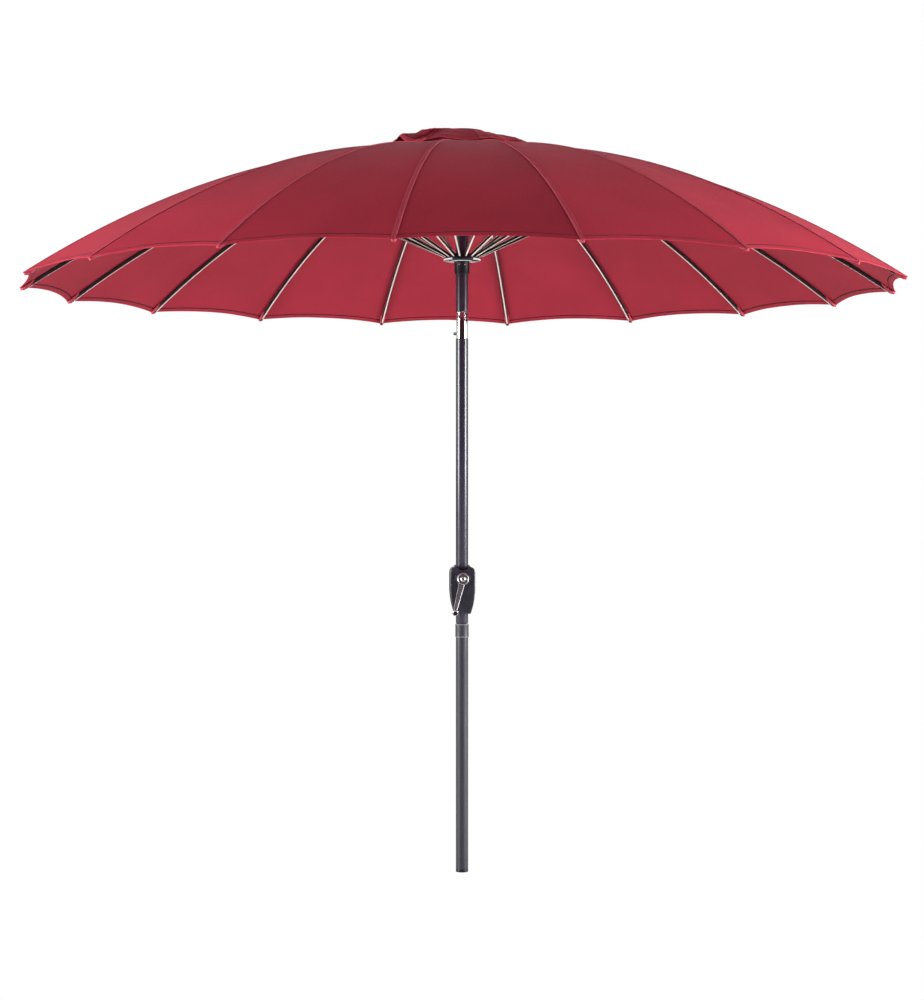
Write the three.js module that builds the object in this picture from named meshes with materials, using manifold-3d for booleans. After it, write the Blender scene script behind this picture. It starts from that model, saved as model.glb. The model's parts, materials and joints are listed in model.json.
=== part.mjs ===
// Crank-lift patio umbrella with a tilting head and eighteen folding ribs.
// Millimetres, +Z up. The origin is the centre of the pole's flat lower end, where it enters a base.
// Azimuths are in degrees about +Z from +X; the crank faces -Y.

import * as THREE from 'three';
import { mergeVertices } from 'three/addons/utils/BufferGeometryUtils.js';
import Module from 'manifold-3d';

const wasm = await Module();
wasm.setup();

// ---------------------------------------------------------------- driving dimensions

const CLEARANCE = 0.3; // gap between touching pieces
const ROUND = 24; // sides of a large round
const SMALL_ROUND = 12; // sides of a small round

const RIB_COUNT = 18;
const RIB_STEP = 360 / RIB_COUNT;
const CANOPY_RADIUS = 1350; // pole axis to rib tip
const RIM_Z = 1792; // fabric height at the rib tips
const CROWN_RISE = 426; // from the rim up to the level part of the fabric curve
const LEVEL_RADIUS = 76; // radius where the fabric curve is level
const VENT_RADIUS = 130; // hole at the top of the canopy
const HEM_SCALLOP = 20; // how far the hem is drawn in between two ribs
const FABRIC = 1.5;

const HINGE_RADIUS = 45; // rib hinges, on a wire ring in the top hub
const HINGE_GAP = 1; // under the fabric, over a rib
const RIB_WIDTH = 8;
const RIB_HEIGHT = 11;
const RIB_WALL = 1.2;
const RIB_BODY_START = 64; // where the rib's channel begins outside the hub
const RIB_END = CANOPY_RADIUS - 14;
const STRUT_RIB_RADIUS = 600; // where a strut is riveted to its rib
const STRUT_RUNNER_RADIUS = 47; // strut hinges, on a wire ring in the runner
const STRUT_RUNNER_Z = 1893;
const STRUT_THICKNESS = 5.2;
const STRUT_HEIGHT = 8.4;
const RIVET_RADIUS = 2.8;
const WIRE_RADIUS = 1.5;
const EYE_RADIUS = 2.2;

const POLE_RADIUS = 19;
const POLE_BORE = 17.5;
const LOWER_POLE_BORE = 17.8;
const SPIGOT_RADIUS = 17.5; // swaged end of the middle pole, inside the lower pole
const FOOT_HEIGHT = 9;
const LOWER_POLE_TOP = 745;
const COLLAR_BOTTOM = 723.5;
const COLLAR_TOP = 763;
const COLLAR_RADIUS = 21;
const SPIGOT_BOTTOM = 620;
const SWAGE_Z = 798; // where the middle pole narrows
const MIDDLE_POLE_TOP = 1642;

const CRANK_Z = 905;
const HOUSING_FRONT_Y = -50;
const HOUSING_REAR_Y = 29;
const HOUSING_BOTTOM = 797;
const DRUM_RADIUS = 12.3;
const DRUM_FLANGE = 15;
const SHAFT_RADIUS = 4.5;
const ARM_HUB_RADIUS = 19.75;
const KNOB_X = -25;
const KNOB_Z = 802.5;
const KNOB_RADIUS = 9;

const TILT_Z = 1709;
const TILT_AXIS_AZIMUTH = 240; // the head tips over towards azimuth 150
const TILT_RADIUS = 17.6;
const TONGUE_HALF_WIDTH = 9;
const TONGUE_RADIUS = 12;
const TILT_RANGE = 30; // degrees that the head tips
const PIN_RADIUS = 3;
const BUTTON_Z = 1658;
const BUTTON_RADIUS = 4.5;
const BUTTON_REACH = 28.5; // pole axis to the button's outer face
const BUTTON_TRAVEL = 5;

const UPPER_POLE_BOTTOM = 1723;
const UPPER_POLE_TOP = 2190;
const HUB_RADIUS = 52;
const HUB_TOP = 2215;
const HUB_DISC_BOTTOM = 2196;
const CAP_DISC_TOP = 2276.5;
const CAP_DISC_RADIUS = 60;

const RUNNER_BORE = 19.7;
const RUNNER_RADIUS = 23;
const RUNNER_BOTTOM = 1841;
const RUNNER_TOP = 1902;
const RUNNER_FLANGE_RADIUS = 56;
const RUNNER_FLANGE_BOTTOM = 1884;

const CORD_RADIUS = 1.35;
const CORD_OFFSET = 5.8; // the cord passes beside the tilt pin, towards azimuth 330
const CORD_AZIMUTH = 330;
const CORD_OUTSIDE = 24.5; // the cord's outer run, beside the upper pole
const PULLEY_Z = 2195;

const VENT_CAP_TOP = 2279;
const VENT_CAP_RADIUS = 235;
const VENT_CAP_TIE_Z = 2226; // hem height where the cap is tied down to a rib
const VENT_CAP_FREE_Z = 2240; // hem height half way between two ties

// ---------------------------------------------------------------- solids

const radians = THREE.MathUtils.degToRad;

function solid(geometry) {
  const bare = geometry.clone();
  bare.deleteAttribute('normal');
  bare.deleteAttribute('uv');
  const merged = mergeVertices(bare, 1e-3);
  return new wasm.Manifold(new wasm.Mesh({
    numProp: 3,
    vertProperties: merged.attributes.position.array,
    triVerts: new Uint32Array(merged.index.array),
  }));
}

function geometryOf(manifold) {
  const mesh = manifold.getMesh();
  const geometry = new THREE.BufferGeometry();
  geometry.setAttribute('position', new THREE.BufferAttribute(mesh.vertProperties, 3));
  geometry.setIndex(new THREE.BufferAttribute(mesh.triVerts, 1));
  const flat = geometry.toNonIndexed();
  flat.computeVertexNormals();
  return flat;
}

const join = (...parts) => parts.reduce((whole, part) => whole.add(part));
const cut = (whole, ...tools) => tools.reduce((rest, tool) => rest.subtract(tool), whole);

// A box between two corners.
function box(low, high) {
  const size = high.map((value, i) => value - low[i]);
  const middle = high.map((value, i) => (value + low[i]) / 2);
  return new THREE.BoxGeometry(...size).translate(...middle);
}

// A profile of [radius, z] points turned about Z; a closed profile makes a ring.
function lathe(profile, sides = ROUND) {
  const points = profile.map(([radius, z]) => new THREE.Vector2(radius, z));
  return new THREE.LatheGeometry(points, sides).rotateX(Math.PI / 2);
}

const ring = (profile, sides) => lathe([...profile, profile[0]], sides);

// Round bars along Z and along Y.
function postZ(radius, z0, z1, sides = ROUND) {
  return lathe([[0, z0], [radius, z0], [radius, z1], [0, z1]], sides);
}

function postY(radius, y0, y1, x, z, sides = SMALL_ROUND) {
  return postZ(radius, -y1, -y0, sides).rotateX(Math.PI / 2).translate(x, 0, z);
}

// An outline of [x, z] points, or a Shape, with its thickness from y0 to y1.
function plate(outline, y0, y1, { bevel = 0, curveSegments = 3 } = {}) {
  const shape = outline instanceof THREE.Shape
    ? outline
    : new THREE.Shape(outline.map(([x, z]) => new THREE.Vector2(x, z)));
  return new THREE.ExtrudeGeometry(shape, {
    depth: y1 - y0 - 2 * bevel,
    bevelEnabled: bevel > 0,
    bevelSize: bevel,
    bevelThickness: bevel,
    bevelOffset: -bevel,
    bevelSegments: 2,
    curveSegments,
  }).rotateX(Math.PI / 2).translate(0, y1 - bevel, 0);
}

// The same, across X: an outline of [y, z] points with its thickness from x0 to x1.
function plateX(outline, x0, x1, options) {
  return plate(outline, -x1, -x0, options).rotateZ(Math.PI / 2);
}

const turned = (geometry, azimuth) => geometry.rotateZ(radians(azimuth));

// A closed round tube of solid cord along a curve.
function cord(curve, steps) {
  const section = new THREE.Shape().absarc(0, 0, CORD_RADIUS, 0, 2 * Math.PI);
  return new THREE.ExtrudeGeometry(section, { steps, extrudePath: curve, curveSegments: 4 });
}

// A sheet with a thickness: rings of points from the inside out, closed round the axis.
function sheet(rings, thickness) {
  const around = rings[0].length;
  const layer = rings.length * around;
  const positions = [];
  for (const drop of [0, thickness]) {
    for (const points of rings) {
      for (const [x, y, z] of points) positions.push(x, y, z - drop);
    }
  }
  const faces = [];
  const quad = (a, b, c, d) => faces.push(a, b, c, a, c, d);
  for (let i = 0; i < around; i++) {
    const next = (i + 1) % around;
    for (let j = 0; j + 1 < rings.length; j++) {
      const inner = j * around;
      const outer = inner + around;
      quad(inner + i, outer + i, outer + next, inner + next);
      quad(layer + inner + next, layer + outer + next, layer + outer + i, layer + inner + i);
    }
    const rim = layer - around;
    quad(rim + i, layer + rim + i, layer + rim + next, rim + next);
    quad(next, layer + next, layer + i, i);
  }
  const geometry = new THREE.BufferGeometry();
  geometry.setAttribute('position', new THREE.Float32BufferAttribute(positions, 3));
  geometry.setIndex(faces);
  return geometry;
}

// ---------------------------------------------------------------- the canopy's curve

const fabricZ = (radius) =>
  RIM_Z + CROWN_RISE * (1 - ((radius - LEVEL_RADIUS) / (CANOPY_RADIUS - LEVEL_RADIUS)) ** 2);

const CANOPY_BANDS = 8;
const canopyStations = Array.from({ length: CANOPY_BANDS + 1 },
  (_, i) => VENT_RADIUS + (CANOPY_RADIUS - VENT_RADIUS) * i / CANOPY_BANDS);
const seamStations = [HINGE_RADIUS, ...canopyStations];

// Fabric height over a rib, straight between the stations, so that ribs and fabric keep their gap.
function seamZ(radius) {
  const last = seamStations.length - 2;
  const band = Math.min(last, Math.max(0, seamStations.findLastIndex((station) => station <= radius)));
  const [from, to] = [seamStations[band], seamStations[band + 1]];
  const share = (radius - from) / (to - from);
  return fabricZ(from) * (1 - share) + fabricZ(to) * share;
}

const ribTop = (radius) => seamZ(radius) - FABRIC - HINGE_GAP;
const HINGE_Z = ribTop(HINGE_RADIUS) - RIB_HEIGHT / 2;
const STRUT_RIB_Z = ribTop(STRUT_RIB_RADIUS) - RIB_HEIGHT / 2;

function canopyGeometry() {
  const around = 2 * RIB_COUNT; // a point on each rib and one half way to the next
  const halfStep = radians(RIB_STEP / 2);
  const rings = canopyStations.map((station, j) => Array.from({ length: around }, (_, i) => {
    const onRib = i % 2 === 0;
    const drawnIn = j === CANOPY_BANDS && !onRib ? HEM_SCALLOP : 0;
    const along = station - drawnIn;
    const radius = onRib ? along : along * Math.cos(halfStep);
    return [radius * Math.cos(i * halfStep), radius * Math.sin(i * halfStep), seamZ(along)];
  }));
  return sheet(rings, FABRIC);
}

function ventCapGeometry() {
  const flat = [[CAP_DISC_RADIUS / 5, 1], [CAP_DISC_RADIUS + 2, 1]];
  const slope = [[100, 0.94], [160, 0.58], [VENT_CAP_RADIUS, 0]];
  const rings = [...flat, ...slope].map(([radius, height]) => Array.from({ length: RIB_COUNT }, (_, i) => {
    const hemZ = i % 2 === 1 ? VENT_CAP_TIE_Z : VENT_CAP_FREE_Z;
    const angle = radians(i * RIB_STEP);
    return [radius * Math.cos(angle), radius * Math.sin(angle), hemZ + (VENT_CAP_TOP - hemZ) * height];
  }));
  return sheet(rings, FABRIC);
}

// ---------------------------------------------------------------- the poles

function footPlugGeometry() {
  return lathe([[0, 0], [18.5, 0], [POLE_RADIUS, 1], [POLE_RADIUS, FOOT_HEIGHT], [17.4, FOOT_HEIGHT],
    [17.4, 30], [16, 32], [0, 32]]);
}

function lowerPoleGeometry() {
  const bottom = FOOT_HEIGHT + CLEARANCE;
  return ring([[LOWER_POLE_BORE, bottom], [POLE_RADIUS, bottom],
    [POLE_RADIUS, LOWER_POLE_TOP], [LOWER_POLE_BORE, LOWER_POLE_TOP]]);
}

function collarGeometry() {
  const lip = LOWER_POLE_TOP + 0.5;
  const bore = POLE_RADIUS + CLEARANCE;
  const edge = COLLAR_RADIUS - 0.6;
  return ring([[bore, COLLAR_BOTTOM], [edge, COLLAR_BOTTOM], [COLLAR_RADIUS, COLLAR_BOTTOM + 1],
    [COLLAR_RADIUS, COLLAR_TOP - 1], [edge, COLLAR_TOP], [LOWER_POLE_BORE, COLLAR_TOP],
    [LOWER_POLE_BORE, lip], [bore, lip]]);
}

// The middle pole is swaged at its foot, and pierced for the crank's drum and shaft.
function middlePoleGeometry() {
  const spigotBore = SPIGOT_RADIUS - (POLE_RADIUS - POLE_BORE);
  const tube = ring([[spigotBore, SPIGOT_BOTTOM], [SPIGOT_RADIUS, SPIGOT_BOTTOM],
    [SPIGOT_RADIUS, SWAGE_Z], [POLE_RADIUS, SWAGE_Z + 4], [POLE_RADIUS, MIDDLE_POLE_TOP],
    [POLE_BORE, MIDDLE_POLE_TOP], [POLE_BORE, SWAGE_Z + 5], [spigotBore, SWAGE_Z + 1]]);
  const drumHole = postY(DRUM_FLANGE + 0.6, -25, 0, 0, CRANK_Z, 16);
  const shaftHole = postY(SHAFT_RADIUS + 0.5, 0, 25, 0, CRANK_Z);
  return geometryOf(cut(solid(tube), solid(drumHole), solid(shaftHole)));
}

function upperPoleGeometry() {
  const tube = ring([[POLE_BORE, UPPER_POLE_BOTTOM], [POLE_RADIUS, UPPER_POLE_BOTTOM],
    [POLE_RADIUS, UPPER_POLE_TOP], [POLE_BORE, UPPER_POLE_TOP]]);
  return geometryOf(cut(solid(tube), pulleySlot()));
}

// ---------------------------------------------------------------- the crank

// The housing's front outline, wide at its shoulders and narrow at its foot.
function housingOutline(inset = 0) {
  const shape = new THREE.Shape();
  const [neck, shoulder, waist, foot] = [20.5, 38.5, 36, 25].map((half) => half - inset);
  const [top, crest, corner, round] = [946, 939, 936, 924].map((z) => z - inset);
  const [shoulderZ, waistZ, kneeZ] = [868, 845, 825];
  const bottom = HOUSING_BOTTOM + inset;
  shape.moveTo(-foot, bottom);
  shape.lineTo(foot, bottom);
  shape.quadraticCurveTo(waist - 2, kneeZ, waist, waistZ);
  shape.lineTo(shoulder, shoulderZ);
  shape.lineTo(shoulder, round);
  shape.quadraticCurveTo(shoulder, corner, shoulder - 9, crest);
  shape.lineTo(neck, top);
  shape.lineTo(-neck, top);
  shape.lineTo(-shoulder + 9, crest);
  shape.quadraticCurveTo(-shoulder, corner, -shoulder, round);
  shape.lineTo(-shoulder, shoulderZ);
  shape.lineTo(-waist, waistZ);
  shape.quadraticCurveTo(-waist + 2, kneeZ, -foot, bottom);
  return shape;
}

const poleChannel = () => solid(postZ(POLE_RADIUS + 0.4, 780, 960));

function housingFrontGeometry() {
  const wall = 3;
  const shell = solid(plate(housingOutline(), HOUSING_FRONT_Y, 6, { bevel: 5 }));
  const hollow = solid(plate(housingOutline(wall), HOUSING_FRONT_Y + wall, 10));
  const boss = solid(postY(9, HOUSING_FRONT_Y + 1, -36, 0, CRANK_Z));
  const bore = solid(postY(SHAFT_RADIUS + CLEARANCE, -60, -30, 0, CRANK_Z));
  const rearSide = solid(box([-60, -CLEARANCE / 2, 780], [60, 20, 960]));
  return geometryOf(cut(join(cut(shell, hollow), boss), bore, poleChannel(), rearSide));
}

function housingRearGeometry() {
  const shell = solid(plate(housingOutline(), -6, HOUSING_REAR_Y, { bevel: 5 }));
  const bearing = solid(postY(SHAFT_RADIUS + CLEARANCE, 10, 24, 0, CRANK_Z));
  const frontSide = solid(box([-60, -20, 780], [60, CLEARANCE / 2, 960]));
  return geometryOf(cut(shell, bearing, poleChannel(), frontSide));
}

// Drum and shaft are one moulding; the lift cord winds between the flanges.
function crankDrumGeometry() {
  const [inner, outer] = [6.3, 8]; // the flanges' two faces, from the pole's axis
  const [rearEnd, frontEnd] = [-23, 62];
  return lathe([[0, rearEnd], [SHAFT_RADIUS, rearEnd], [SHAFT_RADIUS, -outer], [DRUM_FLANGE, -outer],
    [DRUM_FLANGE, -inner], [DRUM_RADIUS, -inner], [DRUM_RADIUS, inner], [DRUM_FLANGE, inner],
    [DRUM_FLANGE, outer], [SHAFT_RADIUS, outer], [SHAFT_RADIUS, frontEnd], [0, frontEnd]], 16)
    .rotateX(Math.PI / 2).translate(0, 0, CRANK_Z);
}

function crankArmGeometry() {
  const hub = solid(postY(ARM_HUB_RADIUS, -66, -53, 0, CRANK_Z, ROUND));
  const bore = solid(postY(SHAFT_RADIUS + CLEARANCE, -62.5, -50, 0, CRANK_Z));
  const along = new THREE.Vector2(KNOB_X, KNOB_Z - CRANK_Z).normalize();
  const across = new THREE.Vector2(-along.y, along.x);
  const corner = (x, z, half) => [x + across.x * half, z + across.y * half];
  const [wide, narrow] = [9.5, 5.5]; // half widths of the bar at the hub and at the knob
  const bar = solid(plate([corner(0, CRANK_Z, wide), corner(0, CRANK_Z, -wide),
    corner(KNOB_X, KNOB_Z, -narrow), corner(KNOB_X, KNOB_Z, narrow)], -64, -57));
  const end = solid(postY(6.5, -65, -56, KNOB_X, KNOB_Z));
  const spindle = solid(postY(PIN_RADIUS, -92, -60, KNOB_X, KNOB_Z));
  return geometryOf(cut(join(hub, bar, end, spindle), bore));
}

// The knob turns on the arm's spindle.
function crankKnobGeometry() {
  const bore = PIN_RADIUS + CLEARANCE;
  const [inner, floor, face] = [65.5, 93, 97]; // its inner end, the bore's floor and its outer face
  return lathe([[bore, inner], [KNOB_RADIUS - 2, inner], [KNOB_RADIUS - 1, 70], [KNOB_RADIUS, 84],
    [KNOB_RADIUS, floor], [KNOB_RADIUS - 2.5, face], [0, face], [0, floor], [bore, floor],
    [bore, inner]], 16).rotateX(Math.PI / 2).translate(KNOB_X, 0, KNOB_Z);
}

// ---------------------------------------------------------------- the tilt joint
// These pieces are drawn with the pin along their own X, and turned to the tilt azimuth.

const SHOULDER = 13; // height of the fork's cheeks over the pin
const STEM_RADIUS = 2.4; // the button's stem

function tiltForkGeometry() {
  const cheekHalf = TONGUE_HALF_WIDTH + CLEARANCE;
  const spigot = solid(postZ(SPIGOT_RADIUS - 0.4, 1605, 1650));
  const barrel = solid(postZ(TILT_RADIUS, MIDDLE_POLE_TOP + CLEARANCE, TILT_Z + 20));
  // The cheeks are chamfered on the side that the head tips towards.
  const keep = solid(plateX([[-20, 1600], [20, 1600], [20, TILT_Z + SHOULDER], [-3.5, TILT_Z + SHOULDER],
    [-20, TILT_Z + 3.4]], -20, 20));
  const slot = solid(box([-cheekHalf, -20, TILT_Z - 15], [cheekHalf, 20, TILT_Z + 30]));
  const pinHole = solid(postY(PIN_RADIUS + CLEARANCE, -20, 20, 0, TILT_Z).rotateZ(Math.PI / 2));
  const cordHole = solid(postZ(3.6, 1600, TILT_Z, SMALL_ROUND).translate(0, CORD_OFFSET, 0));
  const buttonBore = solid(postY(BUTTON_RADIUS + CLEARANCE, -20, -8, 0, BUTTON_Z));
  const stemBore = solid(postY(STEM_RADIUS + 0.4, -20, 3, 0, BUTTON_Z));
  const whole = join(spigot, barrel.intersect(keep));
  return turned(geometryOf(cut(whole, slot, pinHole, cordHole, buttonBore, stemBore)), TILT_AXIS_AZIMUTH);
}

function tiltPinGeometry() {
  const [reach, head] = [18, 19.5];
  const pin = lathe([[0, -head], [4, -head], [4, -reach], [PIN_RADIUS, -reach], [PIN_RADIUS, reach],
    [4, reach], [4, head], [0, head]], SMALL_ROUND);
  return turned(pin.rotateY(Math.PI / 2).translate(0, 0, TILT_Z), TILT_AXIS_AZIMUTH);
}

function tiltKnuckleGeometry() {
  const foot = TILT_Z + SHOULDER + 0.5;
  const round = new THREE.Shape();
  round.absarc(0, TILT_Z, TONGUE_RADIUS, Math.PI, 2 * Math.PI);
  round.lineTo(TONGUE_RADIUS, foot + 4);
  round.lineTo(-TONGUE_RADIUS, foot + 4);
  const tongue = solid(plateX(round, -TONGUE_HALF_WIDTH, TONGUE_HALF_WIDTH, { curveSegments: 6 }));
  const spigot = solid(postZ(POLE_BORE - 0.4, foot, 1768));
  const pinHole = solid(postY(PIN_RADIUS + CLEARANCE, -20, 20, 0, TILT_Z).rotateZ(Math.PI / 2));
  // The cord's slot is flared below the pin, so that the tongue clears the cord at full tilt.
  const wall = CORD_OFFSET - CORD_RADIUS - 0.35; // from the pin's axis to the slot
  const flare = [0, TILT_RANGE / 2, TILT_RANGE].map((angle) =>
    [wall * Math.cos(radians(angle)), TILT_Z - wall * Math.sin(radians(angle))]);
  const [lastY, lastZ] = flare.at(-1);
  const reach = 16;
  flare.push([lastY - reach * Math.sin(radians(TILT_RANGE)), lastZ - reach * Math.cos(radians(TILT_RANGE))]);
  const cordHole = solid(plateX([[wall, foot], ...flare, [20, TILT_Z - 20], [20, foot]], -2.6, 2.6));
  const cordBore = solid(postZ(2.6, 1700, 1780, SMALL_ROUND).translate(0, CORD_OFFSET, 0));
  return turned(geometryOf(cut(join(tongue, spigot), pinHole, cordHole, cordBore)), TILT_AXIS_AZIMUTH);
}

// The button's cap slides in its bore; the stem reaches the latch inside the fork.
function tiltButtonGeometry() {
  const stemEnd = BUTTON_TRAVEL - 3;
  const capEnd = BUTTON_TRAVEL + 9;
  const button = lathe([[0, stemEnd], [STEM_RADIUS, stemEnd], [STEM_RADIUS, capEnd],
    [BUTTON_RADIUS, capEnd], [BUTTON_RADIUS, BUTTON_REACH - 1.5], [BUTTON_RADIUS - 1.5, BUTTON_REACH],
    [0, BUTTON_REACH]], SMALL_ROUND);
  return turned(button.rotateX(Math.PI / 2).translate(0, 0, BUTTON_Z), TILT_AXIS_AZIMUTH);
}

// ---------------------------------------------------------------- the top hub

const spokes = () => Array.from({ length: RIB_COUNT }, (_, i) => i * RIB_STEP);

const pulleyCentre = (CORD_OFFSET + CORD_OUTSIDE) / 2;
const pulleyLine = (CORD_OUTSIDE - CORD_OFFSET) / 2; // radius of the cord's centre round the pulley

function pulleySlot() {
  return solid(turned(box([3, -4.2, 2160], [27, 4.2, 2207.5]), CORD_AZIMUTH));
}

const hingeWire = (radius, z, thickness) =>
  new THREE.TorusGeometry(radius, thickness, 6, 2 * RIB_COUNT).translate(0, 0, z);

function topHubGeometry() {
  const bore = POLE_RADIUS + CLEARANCE;
  const body = solid(lathe([[0, 2192.5], [bore, 2192.5], [bore, 2168], [26, 2168], [26, HUB_DISC_BOTTOM],
    [HUB_RADIUS, HUB_DISC_BOTTOM], [HUB_RADIUS, HUB_TOP], [9, HUB_TOP], [9, CAP_DISC_TOP - 3],
    [CAP_DISC_RADIUS, CAP_DISC_TOP - 2], [CAP_DISC_RADIUS, CAP_DISC_TOP], [0, CAP_DISC_TOP]], 36));
  const slots = spokes().map((azimuth) => solid(turned(box([36, -3.5, 2190], [60, 3.5, 2220]), azimuth)));
  const wireHole = solid(hingeWire(HINGE_RADIUS, HINGE_Z, WIRE_RADIUS + 0.4));
  const axle = solid(turned(postY(1.7, -5, 5, pulleyCentre, PULLEY_Z, 8), CORD_AZIMUTH));
  return geometryOf(join(cut(body, ...slots, wireHole, pulleySlot()), axle));
}

function pulleyGeometry() {
  const groove = pulleyLine - CORD_RADIUS - 0.2;
  const flange = pulleyLine + CORD_RADIUS;
  const wheel = ring([[2.1, -3], [flange, -3], [flange, -2.4], [groove, -1.4], [groove, 1.4], [flange, 2.4],
    [flange, 3], [2.1, 3]], 16);
  return turned(wheel.rotateX(Math.PI / 2).translate(pulleyCentre, 0, PULLEY_Z), CORD_AZIMUTH);
}

// A low domed nut over the vent cap.
function capNutGeometry() {
  return lathe([[0, CAP_DISC_TOP + CLEARANCE], [8, CAP_DISC_TOP + CLEARANCE], [8, VENT_CAP_TOP + CLEARANCE],
    [22, VENT_CAP_TOP + CLEARANCE], [22, VENT_CAP_TOP + 2], [17, VENT_CAP_TOP + 6.5], [9, VENT_CAP_TOP + 9],
    [0, VENT_CAP_TOP + 9]]);
}

// ---------------------------------------------------------------- the runner

function runnerGeometry() {
  const floor = RUNNER_FLANGE_BOTTOM + 2.5;
  const body = solid(ring([[RUNNER_BORE, RUNNER_BOTTOM], [RUNNER_RADIUS - 1, RUNNER_BOTTOM],
    [RUNNER_RADIUS, RUNNER_BOTTOM + 1], [RUNNER_RADIUS, 1875], [29.5, RUNNER_FLANGE_BOTTOM],
    [RUNNER_FLANGE_RADIUS, RUNNER_FLANGE_BOTTOM], [RUNNER_FLANGE_RADIUS, floor + 1.5], [52, floor + 1.5],
    [52, 1899], [38, RUNNER_TOP], [RUNNER_BORE, RUNNER_TOP]], 36));
  const slots = spokes().map((azimuth) => solid(turned(box([39.5, -3.2, floor], [60, 3.2, 1910]), azimuth)));
  const wire = solid(hingeWire(STRUT_RUNNER_RADIUS, STRUT_RUNNER_Z, WIRE_RADIUS));
  // A keyway lets the runner pass the tilt button.
  const keyHalf = BUTTON_RADIUS + 1.1;
  const keyShape = box([15, -keyHalf, RUNNER_BOTTOM - 5], [BUTTON_REACH + 1.3, keyHalf, RUNNER_TOP + 5]);
  const keyway = solid(turned(keyShape, TILT_AXIS_AZIMUTH - 90));
  return geometryOf(cut(join(cut(body, ...slots), wire), keyway));
}

// ---------------------------------------------------------------- ribs and struts
// Both are drawn in the plane of the rib at azimuth 0, with X outwards.

// An upward channel with a tongue and eye at the hub and a rivet for the strut.
function ribGeometry() {
  const inside = seamStations.filter((station) => station > RIB_BODY_START && station < RIB_END);
  const stations = [RIB_BODY_START, ...inside, RIB_END];
  const band = (from, to, low, high) => {
    const span = stations.map((station) => Math.min(to, Math.max(from, station)));
    const top = span.map((station) => [station, ribTop(station) + high]);
    const under = span.map((station) => [station, ribTop(station) + low]).reverse();
    return [...under, ...top];
  };
  const half = RIB_WIDTH / 2;
  const bar = solid(plate(band(RIB_BODY_START, RIB_END, -RIB_HEIGHT, 0), -half, half));
  const channel = solid(plate(band(RIB_BODY_START + 12, RIB_END - 6, -RIB_HEIGHT + RIB_WALL, 3),
    -half + RIB_WALL, half - RIB_WALL));
  const eye = 4.6;
  const tongueShape = new THREE.Shape();
  tongueShape.absarc(HINGE_RADIUS, HINGE_Z, eye, Math.PI / 2, 3 * Math.PI / 2);
  tongueShape.lineTo(RIB_BODY_START + 4, HINGE_Z - eye);
  tongueShape.lineTo(RIB_BODY_START + 4, HINGE_Z + eye);
  tongueShape.holes.push(new THREE.Path().absarc(HINGE_RADIUS, HINGE_Z, EYE_RADIUS, 0, 2 * Math.PI, true));
  const tongue = solid(plate(tongueShape, -3, 3));
  const rivet = solid(postY(RIVET_RADIUS, -6, 6, STRUT_RIB_RADIUS, STRUT_RIB_Z, 6));
  return geometryOf(join(cut(bar, channel), tongue, rivet));
}

// A flat bar with a fork that straddles the rib and an eye on the runner's wire.
function strutGeometry() {
  const from = new THREE.Vector2(STRUT_RIB_RADIUS, STRUT_RIB_Z);
  const to = new THREE.Vector2(STRUT_RUNNER_RADIUS, STRUT_RUNNER_Z);
  const along = to.clone().sub(from).normalize();
  const angle = along.angle();
  const point = (distance, side) => [
    from.x + along.x * distance - along.y * side,
    from.y + along.y * distance + along.x * side,
  ];
  const half = STRUT_HEIGHT / 2;
  const [barStart, forkEnd] = [26, 42];
  const cheek = new THREE.Shape();
  cheek.absarc(from.x, from.y, 5.6, angle + Math.PI / 2, angle + 3 * Math.PI / 2);
  for (const side of [-half, half]) cheek.lineTo(...point(forkEnd, side));
  cheek.holes.push(new THREE.Path().absarc(from.x, from.y, RIVET_RADIUS + 0.7, 0, 2 * Math.PI, true));
  const [innerFace, outerFace] = [RIB_WIDTH / 2 + 0.4, RIB_WIDTH / 2 + 2];
  const cheeks = [-outerFace, innerFace].map((y) => solid(plate(cheek, y, y + outerFace - innerFace)));
  const webStart = barStart + 6;
  const web = solid(plate([point(webStart, -half), point(forkEnd, -half), point(forkEnd, half),
    point(webStart, half)], -outerFace, outerFace));
  const end = new THREE.Shape();
  end.absarc(to.x, to.y, 5, angle - Math.PI / 2, angle + Math.PI / 2);
  for (const side of [half, -half]) end.lineTo(...point(barStart, side));
  end.holes.push(new THREE.Path().absarc(to.x, to.y, EYE_RADIUS, 0, 2 * Math.PI, true));
  const bar = solid(plate(end, -STRUT_THICKNESS / 2, STRUT_THICKNESS / 2));
  return geometryOf(join(...cheeks, web, bar));
}

// ---------------------------------------------------------------- the lift cord

// From the crank's drum up the middle pole to the tilt joint.
function lowerCordGeometry() {
  const [besideX, besideY] = [Math.cos, Math.sin].map((f) => CORD_OFFSET * f(radians(CORD_AZIMUTH)));
  const offDrum = DRUM_RADIUS + CORD_RADIUS + 0.35;
  const route = new THREE.CatmullRomCurve3([
    new THREE.Vector3(offDrum, 0, CRANK_Z + 1),
    new THREE.Vector3(offDrum, 0, CRANK_Z + 95),
    new THREE.Vector3(besideX, besideY, 1590),
    new THREE.Vector3(besideX, besideY, TILT_Z - 1),
  ]);
  return cord(route, 14);
}

// From the tilt joint up the upper pole and over the pulley, to where it comes out of the hub.
function upperCordGeometry() {
  const run = solid(postZ(CORD_RADIUS, TILT_Z + 1, PULLEY_Z + 0.1, 8).translate(CORD_OFFSET, 0, 0));
  const wrap = new THREE.Curve();
  wrap.getPoint = (t) => new THREE.Vector3(
    pulleyCentre - pulleyLine * Math.cos(Math.PI * t), 0, PULLEY_Z + pulleyLine * Math.sin(Math.PI * t));
  return turned(geometryOf(join(run, solid(cord(wrap, 8)))), CORD_AZIMUTH);
}

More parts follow.
